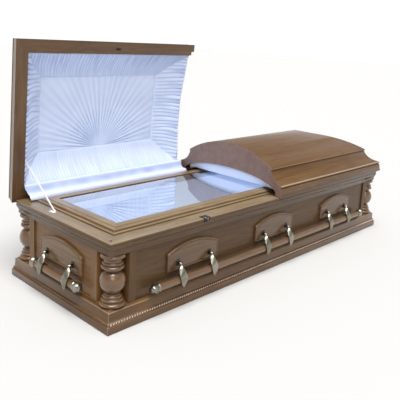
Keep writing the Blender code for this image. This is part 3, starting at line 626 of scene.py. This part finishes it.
def glassFrame():
    inner = body["openingY"] - body["frameHalf"][1]
    rebate, bottom, top = body["glassY"] + gap - body["frameHalf"][1], body["ledgeTop"] + gap, body["frameTop"]
    profile = [(inner, bottom), (0, bottom)] + chordArc((0, bottom + 0.0035), (-0.002, bottom + 0.0048), 0.0004, 3)
    profile += chordArc((-0.002, bottom + 0.0048), (-0.013, bottom + 0.0105), 0.0022, 8)[1:]
    profile += chordArc((-0.013, bottom + 0.0105), (-0.0243, top - 0.0022), -0.001, 8)[1:]
    profile += [(-0.0249, top - 0.0028)] + chordArc((-0.0262, top - 0.0022), (-0.029, top), 0.0006, 4)
    profile += [(rebate + 0.005, top), (rebate + 0.0014, top - 0.0006), (rebate, top - 0.002)]
    profile += [(rebate, body["glassRest"]), (inner, body["glassRest"])]
    piece = mitredRun("glassFrame", body["frameHalf"], profile)
    place(shade(ease(piece, 0.0005)), "casket", "wood", mitredWood, "glass_frame")


print("box")
baseWood = woodFinish("baseWood", "mitred", tint=(1.36, 1.28, 1.12), paintedHighlight=((0.083, 0.0017, 0.3),))
# painted highlight: the strands along the sides are tinted pale for the gloss highlights on them, while those on the
# ends keep a wood tone
highlightTintedRope = woodFinish("highlightTintedRope", "mitred", tint=(5.4, 9.2, 22.0), ends=(1.7, 1.7, 1.6))
baseMoulding()
carvedRope()
cornice()
glassFrame()


# turned posts

post = dict(at=(0.984, 0.304), low=0.09 + gap, high=0.303 - gap, sides=56)


def cornerPosts():
    low, high = post["low"], post["high"]
    foot = [(0.049, low), (0.0508, low + 0.001)] + arc((0.045, low + 0.0085), 0.007, -1.15, 1.4, 10)
    foot += [(0.045, 0.1066), (0.042, 0.1078), (0.0405, 0.109)] + arc((0.038, 0.1158), 0.0072, -1.1, 1.15, 10)
    foot += [(0.038, 0.1232), (0.0368, 0.1246)] + arc((0.0348, 0.1308), 0.0054, -1.15, 1.15, 8)
    foot += [(0.035, 0.1364), (0.0335, 0.1386), (0.0335, 0.1402)]
    ball = arc((0, 0.1895), 1, -1.05, 1.02, 22)
    ball = [(0.0524 * abs(x) ** 0.9, 0.1895 + 0.052 * (z - 0.1895)) for x, z in ball]
    collar = [(0.0345, 0.2372), (0.0345, 0.2398), (0.0378, 0.241)] + arc((0.0388, 0.25), 0.0078, -1.15, 1.15, 10)
    collar += [(0.0388, 0.2586), (0.0372, 0.2602)] + arc((0.0375, 0.2662), 0.0052, -1.1, 1.1, 8)
    cap = [(0.0372, 0.2722), (0.0362, 0.2745), (0.0368, 0.279), (0.0385, 0.2835), (0.042, 0.2868), (0.0455, 0.288)]
    cap += arc((0.0445, 0.294), 0.0056, -0.95, 0.75, 8) + [(0.0475, 0.299), (0.0475, high)]
    model = shade(turnedPiece("post", foot + ball + collar + cap, post["sides"]), 50)
    for end, signX in (("head", -1), ("foot", 1)):
        for side, signY in (("front", -1), ("back", 1)):
            spot = at(signX * post["at"][0], signY * post["at"][1], 0)
            piece = copied(model, f"cornerPost_{end}_{side}", spot @ Matrix.Rotation(signX + 2 * signY, 4, "Z"))
            place(piece, "casket", "wood", turnedWood, f"corner_post_{end}_{side}")
    discard(model)


print("posts")
cornerPosts()


# raised panels, the eared plates on them and the handles

panel = dict(pitch=0.579, half=0.153, bottom=0.16, spring=0.24, rise=0.036,  # moulding: steps inwards and out
             moulding=((0.0005, 0.0012), (0.001, 0.0012), (0.0016, 0.001), (0.0018, 0.0002), (0.0018, -0.0004),
                       (0.0013, -0.0012), (0.0008, -0.001), (0.0006, 0.0002), (0.0008, 0.0011), (0.0012, 0.0008),
                       (0.001, 0.0001)))
handle = dict(armHalf=0.095, pivotOut=0.0245, pivotZ=0.192, barOut=0.037, barZ=0.127, barRadius=0.0155,
              sideHalf=0.801, endHalf=0.142)
sides = [("front", (0, -0.334), 0, (-panel["pitch"], 0, panel["pitch"]), handle["sideHalf"]),
         ("back", (0, 0.334), 180, (-panel["pitch"], 0, panel["pitch"]), handle["sideHalf"]),
         ("head", (-1.014, 0), -90, (0,), handle["endHalf"]), ("foot", (1.014, 0), 90, (0,), handle["endHalf"])]


def panelModel():
    half, rise = panel["half"], panel["rise"]
    radius = (half ** 2 + rise ** 2) / (2 * rise)
    reset()
    # 272 sides put a corner of the circle where the arch springs
    bpy.ops.mesh.primitive_circle_add(vertices=272, radius=radius, fill_type="NGON", rotation=(pi / 2, 0, 0),
                                      location=(0, -gap, panel["spring"] + rise - radius))
    piece = settle(named("panel"))
    for co, no in (((half, 0, 0), (1, 0, 0)), ((-half, 0, 0), (-1, 0, 0)), ((0, 0, panel["bottom"]), (0, 0, -1))):
        edit(piece)
        bpy.ops.mesh.bisect(plane_co=co, plane_no=no, clear_outer=True)
    edit(piece)
    bpy.ops.mesh.remove_doubles(threshold=0.0004)
    bpy.ops.mesh.extrude_region_move(TRANSFORM_OT_translate={"value": (0, -0.0085, 0)})
    turnOut(piece)
    edit(piece)
    bpy.ops.mesh.select_mode(type="FACE")
    mesh = bmesh.from_edit_mesh(piece.data)
    for face in mesh.faces:  # the front alone
        face.select_set(face.normal.y < -0.9 and face.calc_center_median().y < -0.004)
    bmesh.update_edit_mesh(piece.data)
    for inwards, outwards in panel["moulding"]:
        bpy.ops.mesh.inset(thickness=inwards, depth=outwards)
    reset()
    return shade(piece, 42)


def earModel():  # a plate with two ears and the pin's ends, facing -Y, its pin at the origin
    parts = [ease(block("plate", (-0.0098, 0.0095, -0.01), (0.0098, 0.0123, 0.0165)), 0.0022, 3)]
    for side in (-1, 1):
        ear = block("ear", (side * 0.0086 - 0.0011, -0.0045, -0.0048), (side * 0.0086 + 0.0011, 0.01, 0.0048))
        parts += [ease(ear, 0.001, 2), ease(rod("pin", 0.0026, 0.0012, (side * 0.0102, 0, 0), 20), 0.0005, 2)]
    return shade(joined(parts, "ears"))


def armModel():  # a flattened rod, extruded down a curve from its ball to a leaf with a raised midrib
    barOut, barUp = handle["barOut"] - handle["pivotOut"], handle["barZ"] - handle["pivotZ"]
    leaf = (barOut + handle["barRadius"]) * 1000 + 4.5
    stations = [  # out, up, half width and half depth, in millimetres
        (0, 6.8, 1.6, 1.6), (0, 5.8, 4.0, 3.8), (0, 3.0, 6.0, 5.8), (0, 0, 6.4, 6.2), (0.4, -3.4, 5.8, 5.6),
        (1.6, -6.2, 4.6, 4.6), (3.4, -9.0, 6.2, 4.8), (6.2, -13.0, 11.2, 5.4), (10.0, -18.0, 15.0, 6.0),
        (14.3, -23.8, 17.5, 6.4), (19.0, -30.0, 19.1, 6.2), (23.4, -36.6, 19.9, 5.6), (27.2, -43.6, 20.4, 4.8),
        (30.4, -51.5, 20.1, 3.8), (leaf, -60.0, 19.2, 3.2), (leaf + 0.4, -68.0, 17.4, 3.0), (leaf, -75.5, 14.9, 2.8),
        (leaf - 1.0, -82.5, 11.5, 2.6), (leaf - 2.4, -88.5, 7.4, 2.4), (leaf - 3.6, -93.0, 3.6, 2.1),
        (leaf - 4.4, -95.8, 1.4, 1.5)]
    stations = [[value / 1000 for value in station] for station in stations]
    reset()
    out, up, width, depth = stations[0]
    bpy.ops.mesh.primitive_circle_add(vertices=28, radius=1, fill_type="NGON")
    piece = named("arm")
    for vertex in piece.data.vertices:  # the rod's outline: a ridge down the front between two flutes
        turn = atan2(vertex.co.y, vertex.co.x)
        wide = abs(cos(turn)) ** 0.8
        vertex.co.x = wide * (1 if cos(turn) > 0 else -1)
        if sin(turn) < 0:
            vertex.co.y = -1.55 * (1 - wide) ** 0.9 - 0.25 * (1 - wide ** 6)
        else:
            vertex.co.y = abs(sin(turn)) ** 0.8
    piece.data.transform(at(0, -out, up) @ Matrix.Diagonal((width, depth, 1, 1)))
    bpy.ops.object.mode_set(mode="EDIT")
    bpy.ops.mesh.select_all(action="SELECT")
    tilt = 0.0
    for i in range(1, len(stations)):
        out, up, width, depth = stations[i - 1]
        outB, upB, widthB, depthB = stations[i]
        nextOut, nextUp = stations[min(i + 1, len(stations) - 1)][:2]
        heading = atan2(nextOut - out, -(nextUp - up))  # from straight down towards the front
        centre = (0, -outB, upB)
        bpy.ops.mesh.extrude_region_move(TRANSFORM_OT_translate={"value": (0, -(outB - out), upB - up)})
        ratio = depthB / depth
        bpy.ops.transform.resize(value=(widthB / width, ratio, ratio), center_override=centre)
        mesh = bmesh.from_edit_mesh(piece.data)
        chosen = [v for v in mesh.verts if v.select]
        bmesh.ops.rotate(mesh, cent=centre, matrix=Matrix.Rotation(-(heading - tilt), 3, "X"), verts=chosen)
        bmesh.update_edit_mesh(piece.data)
        tilt = heading
    turnOut(piece)
    half, spot = 0.0095, (0, -barOut, barUp)
    collar = rod("collar", handle["barRadius"] + 0.0048, 2 * half, spot)
    hole = rod("hole", handle["barRadius"] + 0.0012, 4 * half, spot)
    modify(piece, "BOOLEAN", object=collar, operation="UNION", solver="EXACT")
    discard(collar)
    cutAway(piece, hole)
    return shade(ease(piece, 0.0006, 2, 50), 40)


def barModel(half):
    r = handle["barRadius"]
    profile = [(r - 0.0008, -half), (r, -half + 0.0008), (r, half - 0.0008), (r - 0.0008, half)]
    return shade(turnedPiece("bar", profile, 48), 40)


def tipModel():
    r = handle["barRadius"]
    profile = [(r + 0.0006, 0), (r + 0.003, 0.0008), (r + 0.0034, 0.0028), (r + 0.0028, 0.0048), (r + 0.001, 0.0058)]
    profile += [(r + 0.0006, 0.0066)] + chordArc((r + 0.0014, 0.0073), (0.023, 0.021), 0.0016, 8)
    profile += chordArc((0.0231, 0.023), (0.013, 0.041), 0.0042, 10)
    profile += [(0.0098, 0.0428), (0.006, 0.0443), (0.0024, 0.045)]
    return shade(turnedPiece("tip", profile, 40), 45)


def sidesAndHandles():
    panelShape, ears, arm, tip = panelModel(), earModel(), armModel(), tipModel()
    layX = Matrix.Rotation(pi / 2, 4, "Y")
    drop = at(0, handle["pivotOut"] - handle["barOut"], handle["barZ"] - handle["pivotZ"])
    for side, spot, turn, middles, half in sides:
        spin = Matrix.Rotation(radians(turn), 4, "Z")
        field = at(*spot, 0) @ spin
        pivot = at(*spot, handle["pivotZ"]) @ spin @ at(0, -handle["pivotOut"], 0)
        bodyName, isEnd = "handle_" + side, side in ("head", "foot")
        for number, middle in enumerate(middles, 1):
            tag = side + (f"_{number}" if len(middles) > 1 else "")
            piece = copied(panelShape, "raisedPanel_" + tag, field @ at(middle, 0, 0))
            place(piece, "casket", "wood", litEndPanelWood if isEnd else panelWood, "panel_" + tag)
        offsets = [middle + sign * handle["armHalf"] for middle in middles for sign in (-1, 1)]
        for number, offset in enumerate(offsets, 1):
            spot = pivot @ at(offset, 0, 0)
            place(copied(ears, f"handleEars_{side}_{number}", spot), "casket", "dark_metal", darkMetal)
            piece = copied(arm, f"handleArm_{side}_{number}", spot)
            place(piece, bodyName, "antique_brass", brass, f"handle_{side}_arm_{number}")
        bar = move(barModel(half), pivot @ drop @ layX)
        bar.name = bar.data.name = f"handleBar_{side}"
        place(bar, bodyName, "wood", litEndBarWood if isEnd else barWood, f"handle_{side}_bar")
        for end, sign in (("a", -1), ("b", 1)):
            spot = pivot @ drop @ at(sign * (half + gap), 0, 0) @ Matrix.Rotation(sign * pi / 2, 4, "Y")
            piece = copied(tip, f"handleTip_{side}_{end}", spot)
            place(piece, bodyName, "antique_brass", tipBrass, f"handle_{side}_tip_{end}")
    for model in (panelShape, ears, arm, tip):
        discard(model)


print("panels and handles")
sidesAndHandles()


# the lids: hipped shells with a boarded, arched cut end

lid = dict(half=(1.05, 0.366), rest=0.3626, height=0.219, arris=0.1345, rake=0.134, shell=0.018, board=0.018,
           rim=(0.057, 0.013), archHalf=0.328, archFoot=0.01, archRise=0.0765, headStart=-0.0025, footStart=0.0055)


def crownArc(start, drop, count):  # from the inset start up to the ridge, drop below the outer crown
    chord, rise = lid["half"][1] - 0.0755, lid["height"] - lid["arris"]
    radius = (chord ** 2 + rise ** 2) / (2 * rise)
    centre, radius = lid["height"] - radius, radius - drop
    sweep = asin((lid["half"][1] - start) / radius)
    return arc((lid["half"][1], centre), radius, pi / 2 + sweep, pi / 2, count)


def archHeight(y):
    return lid["archFoot"] + lid["archRise"] * sqrt(max(0, 1 - (y / lid["archHalf"]) ** 2))


def hippedSolid(name, profile, start, direction):  # built up course by course, then cut across at its start
    def halves(inset, z):
        high = min(max(z - lid["rest"], 0), lid["arris"])
        return lid["half"][0] - inset - lid["rake"] * high, max(lid["half"][1] - inset, 0)
    reset()
    profile = [(inset, lid["rest"] + high) for inset, high in profile]
    inset, z = profile[0]
    bpy.ops.mesh.primitive_plane_add(size=2, location=(0, 0, z))
    piece = named(name)
    bpy.ops.object.mode_set(mode="EDIT")
    bpy.ops.transform.resize(value=(*halves(inset, z), 1), center_override=(0, 0, z))
    raiseCourses(profile, halves)
    turnOut(piece)
    edit(settle(piece))
    bpy.ops.mesh.bisect(plane_co=(direction * start, 0, 0), plane_no=(-direction, 0, 0), use_fill=True,
                        clear_outer=True)
    turnOut(piece)
    return piece


def lidShell(name, start, direction):
    outer = [(0, 0), (0.0005, 0.003), (0.005, 0.0415), (0.0085, 0.044), (0.0112, 0.045)]
    outer += arc((0.0112, 0.052), 0.0064, -2.05, -4.25, 10) + [(0.014, 0.0595), (0.0165, 0.0605)]
    outer += chordArc((0.0165, 0.0605), (0.076, 0.1235), -0.0115, 12)[1:]
    outer += [(0.0775, 0.1245), (0.0725, 0.1262), (0.0712, 0.1285), (0.0722, 0.1303)] + crownArc(0.0755, 0, 26)
    rim, thick = lid["rim"]
    inner = [(rim, -0.01), (rim, thick), (0.026, 0.018), (0.03, 0.056), (0.07, 0.092)]
    inner += crownArc(0.098, lid["shell"], 14)
    piece = hippedSolid(name, outer, start, direction)
    cutAway(piece, hippedSolid("hollow", inner, start + lid["board"], direction))
    arch, length = rod("arch", 1, 1, sides=128), lid["board"] + 0.0105
    arch.scale = (length, lid["archHalf"], lid["archRise"])
    middle, low = direction * (start + (lid["board"] - 0.0095) / 2), lid["rest"] + lid["archFoot"]
    arch.location = (middle, 0, low)
    cutAway(piece, settle(arch))
    under = block("under", (middle - length / 2, -lid["archHalf"], lid["rest"] - 0.02),
                  (middle + length / 2, lid["archHalf"], low + 0.0001))
    cutAway(piece, under)
    return shade(ease(piece, 0.0007, 2, 28), 20)


print("lids")
headLid = lidShell("headLid", lid["headStart"], -1)
place(move(headLid, opened), "head_lid", "lid_wood", headLidWood, "head_lid")
footLid = lidShell("footLid", lid["footStart"], 1)
place(footLid, "foot_lid", "lid_wood", footLidWood, "foot_lid")


# the head lid's lining: four shirred borders round a sunburst panel, modelled with the lid shut

lining = dict(near=-0.0163, far=-0.9902, half=0.3082, nearInset=0.14, farInset=0.125, sideInset=0.125, edge=0.0115,
              panel=0.118, skin=0.003, puff=0.0045, sagHigh=0.04, sagFall=0.296,
              overStay=0.0104, stayEdge=-0.985, overFrame=0.0198, frameEdge=0.285)
roll = [(0, 0), (0.02, -0.012), (0.05, 0.0), (0.12, 0.075), (0.25, 0.245), (0.4, 0.435), (0.55, 0.605), (0.7, 0.745),
        (0.82, 0.825), (0.92, 0.868), (0.985, 0.898), (1.012, 0.938), (1.014, 0.985), (0.995, 1.03)]


def pleats(along, t, seed, count):  # along from 0 to 1, t from the outer edge inwards
    wander = waver(along * count * 0.35, t * 1.1, seed) * 0.55
    bend = waver(along * 5.0, 0.2, seed + 4) * 0.5 * t
    phase = along * count + wander + bend
    number = int(phase // 1)
    strong = 0.7 + 0.65 * waver(number * 1.7 + 0.3, t * 1.6, seed + 9)
    return strong * ridged(phase, 0.8) + 0.2 * ridged(phase * 2.0 + wander, 0.9)


# count pleats, this deep, that sink inwards by fades and lean aslant. dark, scallop and dim set the painted shade
# of the creases, of their outer ends and of the whole border
borders = dict(
    top=dict(corners=(0, 1), grid=(720, 26), count=60, deep=0.0105, seed=11, dark=0.75, dim=0.34, lean=0.036),
    hinge=dict(corners=(3, 2), grid=(720, 26), count=64, deep=0.008, seed=23, dark=0.45),
    end=dict(corners=(0, 3), grid=(400, 28), count=26, deep=0.02, seed=37, fades=0.65, dark=1.2, scallop=1.2),
    near=dict(corners=(1, 2), grid=(420, 30), count=29, deep=0.0135, seed=41, fades=0.35, dark=0.85, scallop=0.7))


def lidCorners(far, near, half):
    return [(far, -half), (near, -half), (near, half), (far, half)]


def border(name, corners, grid, count, deep, seed, dark, fades=0.55, scallop=0.0, dim=0.0, lean=0.0):
    far, near, half, rows, isNear = lining["far"], lining["near"], lining["half"], grid[1], name == "near"
    (ax, ay), (bx, by) = [lidCorners(far, near, half)[corner] for corner in corners]
    inner = lidCorners(far + lining["farInset"], near - lining["nearInset"], half - lining["sideInset"])
    (cx, cy), (dx, dy) = [inner[corner] for corner in corners]
    outer = Vector((bx - ax, by - ay))
    curve = smoothCurve(roll[:-5] + [(0.92, 0.885), (1.0, 0.955), (1.03, 1.01)] if isNear else roll, rows + 1)
    spans = Vector((cx + dx - ax - bx, cy + dy - ay - by)).normalized()
    slope = Vector((-spans.x * 0.65, -spans.y * 0.65, -0.76))
    creaseShade = []

    def shape(s, t):
        a, u = curve[min(rows, round(t * rows))]
        sway = 0.002 * waver(s * 9, t * 3, seed + 2)
        ox, oy = ax + (bx - ax) * s, ay + (by - ay) * s
        ix, iy = cx + (dx - cx) * s, cy + (dy - cy) * s
        low = lining["edge"]
        if isNear:
            hang = max(low, lining["sagHigh"] - lining["sagFall"] * oy * oy)
            lift = max(0.0, 1 - a / 0.05) ** 1.5
            low = hang + (archHeight(oy) + 0.001 - hang) * lift
        high = low + (lining["panel"] - low) * u
        ends = min(1.0, min(s, 1 - s) * count * 0.6)
        fade = (0.3 + 0.7 * min(1.0, t * 9)) * (1.0 - fades * t) * (1 if t < 0.9 else max(0.3, (1 - t) / 0.1))
        x, y = ox + (ix - ox) * a, oy + (iy - oy) * a
        # the share of the outer edge that lies straight across from this point, so the pleats don't fan out
        across = Vector((x - ax, y - ay)).dot(outer) / outer.length ** 2
        ridge = pleats(s * 0.1 + across * 0.9 - lean * t, t, seed, count)
        push = (ridge - 0.5) * deep * fade * ends + (lining["puff"] * sin(pi * min(1, a)) + sway) * ends
        # painted shade in the creases, darker at their outer ends and over the whole border
        creaseShade.append(max(0.0, 1 - ridge * 1.2) * (fade * dark + scallop * max(0.0, 1 - t * 4)) + dim * (1 - t * 0.5))
        x, y, z = x + slope.x * push, y + slope.y * push, high + slope.z * push
        overStay = lining["overStay"] - max(0.0, x - lining["stayEdge"]) * 0.9  # room for the folded stay
        overFrame = lining["overFrame"] - max(0.0, abs(y) - lining["frameEdge"]) * 0.8 if isNear else 0.0
        return (x, y, lid["rest"] + max(z, overStay, overFrame))

    piece = cloth("liningBorder_" + name, *grid, shape, creaseShade)
    faceTowards(piece, slope)
    move(thicken(piece, lining["skin"]), opened)
    place(piece, "head_lid", "satin", foldedSatin, "head_lid_lining")


sunburst = dict(rays=31, heart=(-0.512, 0.186), discRadius=0.062, discHigh=0.004, foldDeep=0.0085, grid=(372, 84))


def sunburstPanel():
    hx, hy = sunburst["heart"]
    left, right = lining["far"] + lining["farInset"] - 0.006, lining["near"] - lining["nearInset"] + 0.006
    top = -(lining["half"] - lining["sideInset"] + 0.006)
    disc, creaseShade = sunburst["discRadius"], []

    def shape(s, t):  # s goes round the heart, t from it to the panel's edge
        dx, dy = -cos(pi * s), -sin(pi * s)
        sidewards = (left - hx) / dx if dx < -1e-6 else (right - hx) / dx if dx > 1e-6 else 9
        radius = min(sidewards, (top - hy) / dy if dy < -1e-6 else 9) * t ** 1.25
        x, y = hx + dx * radius, hy + dy * radius
        phase = s * sunburst["rays"] + 0.32 * waver(s * 12.0, radius * 2.2, 3.1)
        number = int(phase // 1)
        strong = 0.8 + 0.5 * waver(number * 2.3, 0.4, 8.8)
        longer = 0.3 + 0.1 * waver(number * 1.9, 2.4, 1.8)
        rise = clamp((radius - disc * 0.3) / (disc * 0.8))
        fade = 1 / (1 + (radius / longer) ** 3.2)
        fold = ridged(phase, 0.85) * 0.8 + 0.25 * ridged(phase * 2 + 0.5, 1.2)
        push = sunburst["foldDeep"] * strong * fold * rise * fade * min(1.0, radius / 0.13 + 0.12)
        # painted shade in the creases of the rays
        creaseShade.append(max(0.0, 1 - fold * 1.25) * rise * fade * (0.95 if radius < 0.2 else 0.7))
        if radius < disc * 1.05:
            push += sunburst["discHigh"] * sqrt(max(0.0, 1 - (radius / (disc * 1.05)) ** 2)) ** 0.8
        rim = min(x - left, right - x, y - top) / 0.05
        push += 0.006 * (1 - exp(-max(0.0, rim))) - 0.003 + 0.0015 * waver(x * 14, y * 14, 5.0)
        return (x, y, lid["rest"] + lining["panel"] - push * clamp((0.196 - y) / 0.02))

    piece = cloth("sunburstPanel", *sunburst["grid"], shape, creaseShade)
    turnOut(piece)
    edit(piece, False)  # its open edge goes back and is closed
    bpy.ops.mesh.select_mode(type="EDGE")
    bpy.ops.mesh.select_non_manifold(extend=False, use_wire=False, use_multi_face=False, use_non_contiguous=False,
                                     use_verts=False)
    bpy.ops.mesh.extrude_edges_move(TRANSFORM_OT_translate={"value": (0, 0, 0.008)})
    bpy.ops.mesh.edge_face_add()
    turnOut(piece)
    move(shade(piece, 60), opened)
    place(piece, "head_lid", "satin", foldedSatin, "head_lid_lining")


print("head lid lining")
for name, look in borders.items():
    border(name, **look)
sunburstPanel()


# the foot lid's lining, a shallow pad behind the arch

footPad = dict(near=0.0243, crown=0.0262, pitch=0.03, skin=0.004, grid=(380, 70))


def footLining():
    near, far, half, edge, creaseShade = footPad["near"], -lining["far"], lining["half"], lining["edge"], []

    def shape(s, t):
        x, y = near + (far - near) * s, half * (2 * t - 1)
        rim = min(far - x, half - abs(y)) / 0.022
        high = edge + (footPad["crown"] - edge) * (1 - exp(-max(0, rim) * 1.6))
        fromCut = (x - near) / 0.012
        if fromCut < 1:
            high += (archHeight(y) + 0.001 - high) * (1 - fromCut) ** 2
        ridge = ridged(x / footPad["pitch"] + waver(x * 8, y * 2, 7) * 0.6, 0.8)
        inner = clamp((x - near - 0.02) / 0.06)
        gather = waver(x * 9, y * 4, 2.0) * 0.0012 - (0.0006 + 0.0026 * inner) * ridge
        # painted shade in the creases
        creaseShade.append(max(0.0, 1 - ridge * 1.2) * 0.6 * inner)
        return (x, y, lid["rest"] + high + gather * clamp(rim) * min(1, fromCut))

    piece = cloth("footLidLining", *footPad["grid"], shape, creaseShade)
    faceTowards(piece, (0, 0, -1))
    place(thicken(piece, footPad["skin"]), "foot_lid", "satin", foldedSatin, "foot_lid_lining")


print("foot lid lining")
footLining()


# the apron: a satin flap from the head lid's rim over the hinges to the glass frame

apron = dict(low=-0.992, high=-0.02, skin=0.0014, grid=(160, 40), ledge=0.362,
             face=[(0.3475, 0.4245), (0.3432, 0.425), (0.3388, 0.424), (0.336, 0.419), (0.3345, 0.411),
                   (0.332, 0.402), (0.3272, 0.393), (0.32, 0.3872), (0.312, 0.3848), (0.303, 0.3846),
                   (0.295, 0.384), (0.2895, 0.38), (0.2868, 0.373), (0.2858, 0.365)])


def hingeApron():
    rows = apron["grid"][1]
    curve, creaseShade = smoothCurve(apron["face"], rows + 1), []

    def shape(s, t):
        y, z = curve[min(rows, round(t * rows))]
        x = apron["low"] + (apron["high"] - apron["low"]) * s
        soft = waver(x * 5, t * 2, 3.0) * 0.0011 + waver(x * 21, t * 5, 6.0) * 0.0004
        tail = exp(-((x - apron["low"]) / 0.03) ** 2)
        # painted shade along the hollow between the two rolls
        hollow = sin(pi * clamp((t - 0.12) / 0.46)) ** 0.6
        creaseShade.append(hollow * (0.42 + 0.25 * waver(x * 16, t * 1.5, 2.0)))
        z = max(z + soft + 0.0016 * tail * sin(t * 21), apron["ledge"])
        return (x - 0.004 * tail * sin(t * 9), y - soft * 0.5, z)

    piece = cloth("hingeApron", *apron["grid"], shape, creaseShade)
    faceTowards(piece, (0, -1, 1))
    thicken(piece, apron["skin"], 1)
    piece.data.materials.append(apronSatin)
    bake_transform(piece)
    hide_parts("lid_apron")


print("apron")
apronSatin = satinFinish("apronSatin", (0.55, 0.62, 0.86, 1), (0.66, 0.73, 0.95, 1), 0.3, shadesCreases=True)
hingeApron()


# the fabric inside the box, seen through the glass

tray = dict(half=(0.992, 0.312), notch=(0.9105, 0.2305), low=0.02, high=0.3395, pitch=0.03, grid=(900, 12))


def liningSides():
    (halfX, halfY), (notchX, notchY) = tray["half"], tray["notch"]
    outline = [(-notchX, -halfY), (notchX, -halfY), (notchX, -notchY), (halfX, -notchY), (halfX, notchY),
               (notchX, notchY), (notchX, halfY), (-notchX, halfY), (-notchX, notchY), (-halfX, notchY),
               (-halfX, -notchY), (-notchX, -notchY)]
    walls = list(zip(outline, outline[1:] + outline[:1]))
    lengths = [hypot(bx - ax, by - ay) for (ax, ay), (bx, by) in walls]
    total, low = sum(lengths), tray["low"] + 0.008

    def shape(s, t):  # up the shirred sides, along the walls
        left, k = min(s, 0.999999) * total, 0
        while left > lengths[k]:
            left -= lengths[k]
            k += 1
        (ax, ay), (bx, by) = walls[k]
        share = left / lengths[k]
        inwards = Vector((-(by - ay), bx - ax)) / lengths[k]
        ends = min(1.0, left / 0.02, (lengths[k] - left) / 0.02)
        phase = s * total / tray["pitch"] + 0.6 * waver(s * 90, t * 2, 1.0)
        push = 0.001 + ends * (0.0055 * ridged(phase, 0.8) * (1 - 0.4 * t) + 0.006 * sin(pi * t) ** 0.5)
        x, y = ax + (bx - ax) * share + inwards.x * push, ay + (by - ay) * share + inwards.y * push
        return (x, y, low + (tray["high"] - low) * t)

    piece = cloth("bodyLiningSides", *tray["grid"], shape)
    turnOut(piece)
    faceTowards(piece)
    place(thicken(piece, 0.0008), "casket", "satin", traySatin, "body_lining")


def liningFloor():
    (halfX, halfY), (notchX, notchY) = tray["half"], tray["notch"]
    reset()
    bpy.ops.mesh.primitive_plane_add(size=2, location=(0, 0, tray["low"] + 0.001))
    bed = named("bodyLiningFloor")
    bed.scale = (halfX - 0.003, halfY - 0.003, 1)
    edit(settle(bed))
    bpy.ops.mesh.subdivide(number_cuts=60)
    reset()
    for vertex in bed.data.vertices:
        x, y = vertex.co.x, vertex.co.y
        inNotch = min(abs(x) - notchX, abs(y) - notchY)
        if inNotch > -0.004:  # pulled in round the niches
            if abs(x) - notchX < abs(y) - notchY:
                x = (notchX - 0.004) * (1 if x > 0 else -1)
            else:
                y = (notchY - 0.004) * (1 if y > 0 else -1)
        edge = min(halfX - abs(x), halfY - abs(y), max(notchX - abs(x), notchY - abs(y)))
        high = 0.026 * (1 - exp(-max(0.0, edge) / 0.045)) + 0.002 * waver(x * 5, y * 7, 4.0)
        vertex.co = (x, y, tray["low"] + 0.01 + high)
    edit(bed)
    bpy.ops.mesh.remove_doubles(threshold=0.0005)
    reset()
    turnOut(modify(bed, "SOLIDIFY", thickness=0.008, offset=-1, use_rim=True))
    place(smooth(bed), "casket", "satin", traySatin, "body_lining")


print("body lining")
liningSides()
liningFloor()


# small metal: the stay's foot and rivets, and the plug in the ledge

stay = dict(x=-0.9885, footY=0.105, ledge=0.3603 + gap, plug=(-1.009, -0.321))


def smallMetal():
    x, y, low = stay["x"], stay["footY"], stay["ledge"]
    foot = ease(block("foot", (x - 0.0135, y - 0.012, low), (x + 0.004, y + 0.02, low + 0.0014)), 0.0004, 2)
    lug = ease(block("lug", (x + 0.0021, y - 0.008, low + 0.0004), (x + 0.0036, y + 0.01, low + 0.009)), 0.0005, 2)
    place(shade(joined([foot, lug], "stayFoot")), "casket", "white_metal", whiteEnamel, "lid_stay_foot")
    for number, along in enumerate((-0.006, 0.013), 1):
        reset()
        bpy.ops.mesh.primitive_uv_sphere_add(segments=20, ring_count=10, radius=0.0022,
                                             location=(x - 0.0095, y + along, low + 0.0008))
        screw = named(f"stayScrew_{number}")
        screw.scale = (1, 1, 0.4)
        place(shade(settle(screw), 60), "casket", "dark_metal", catchSteel)
    profile = [(0.0052, low), (0.0052, low + 0.0006), (0.0044, low + 0.0012), (0.002, low + 0.0015)]
    plug = move(turnedPiece("ledgePlug", profile, 24), at(*stay["plug"], 0))
    place(shade(plug, 40), "casket", "dark_metal", darkMetal)


print("small metal")
smallMetal()
seen = dict(body_box=framedWood, glass_pane=glass, latch_keeper=glintPaintedSteel, head_lid_latch=darkMetal,
            lid_stay=whiteEnamel)  # the nodes that are kept as they are
for node, material in seen.items():
    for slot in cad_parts[node].material_slots:
        slot.material = material
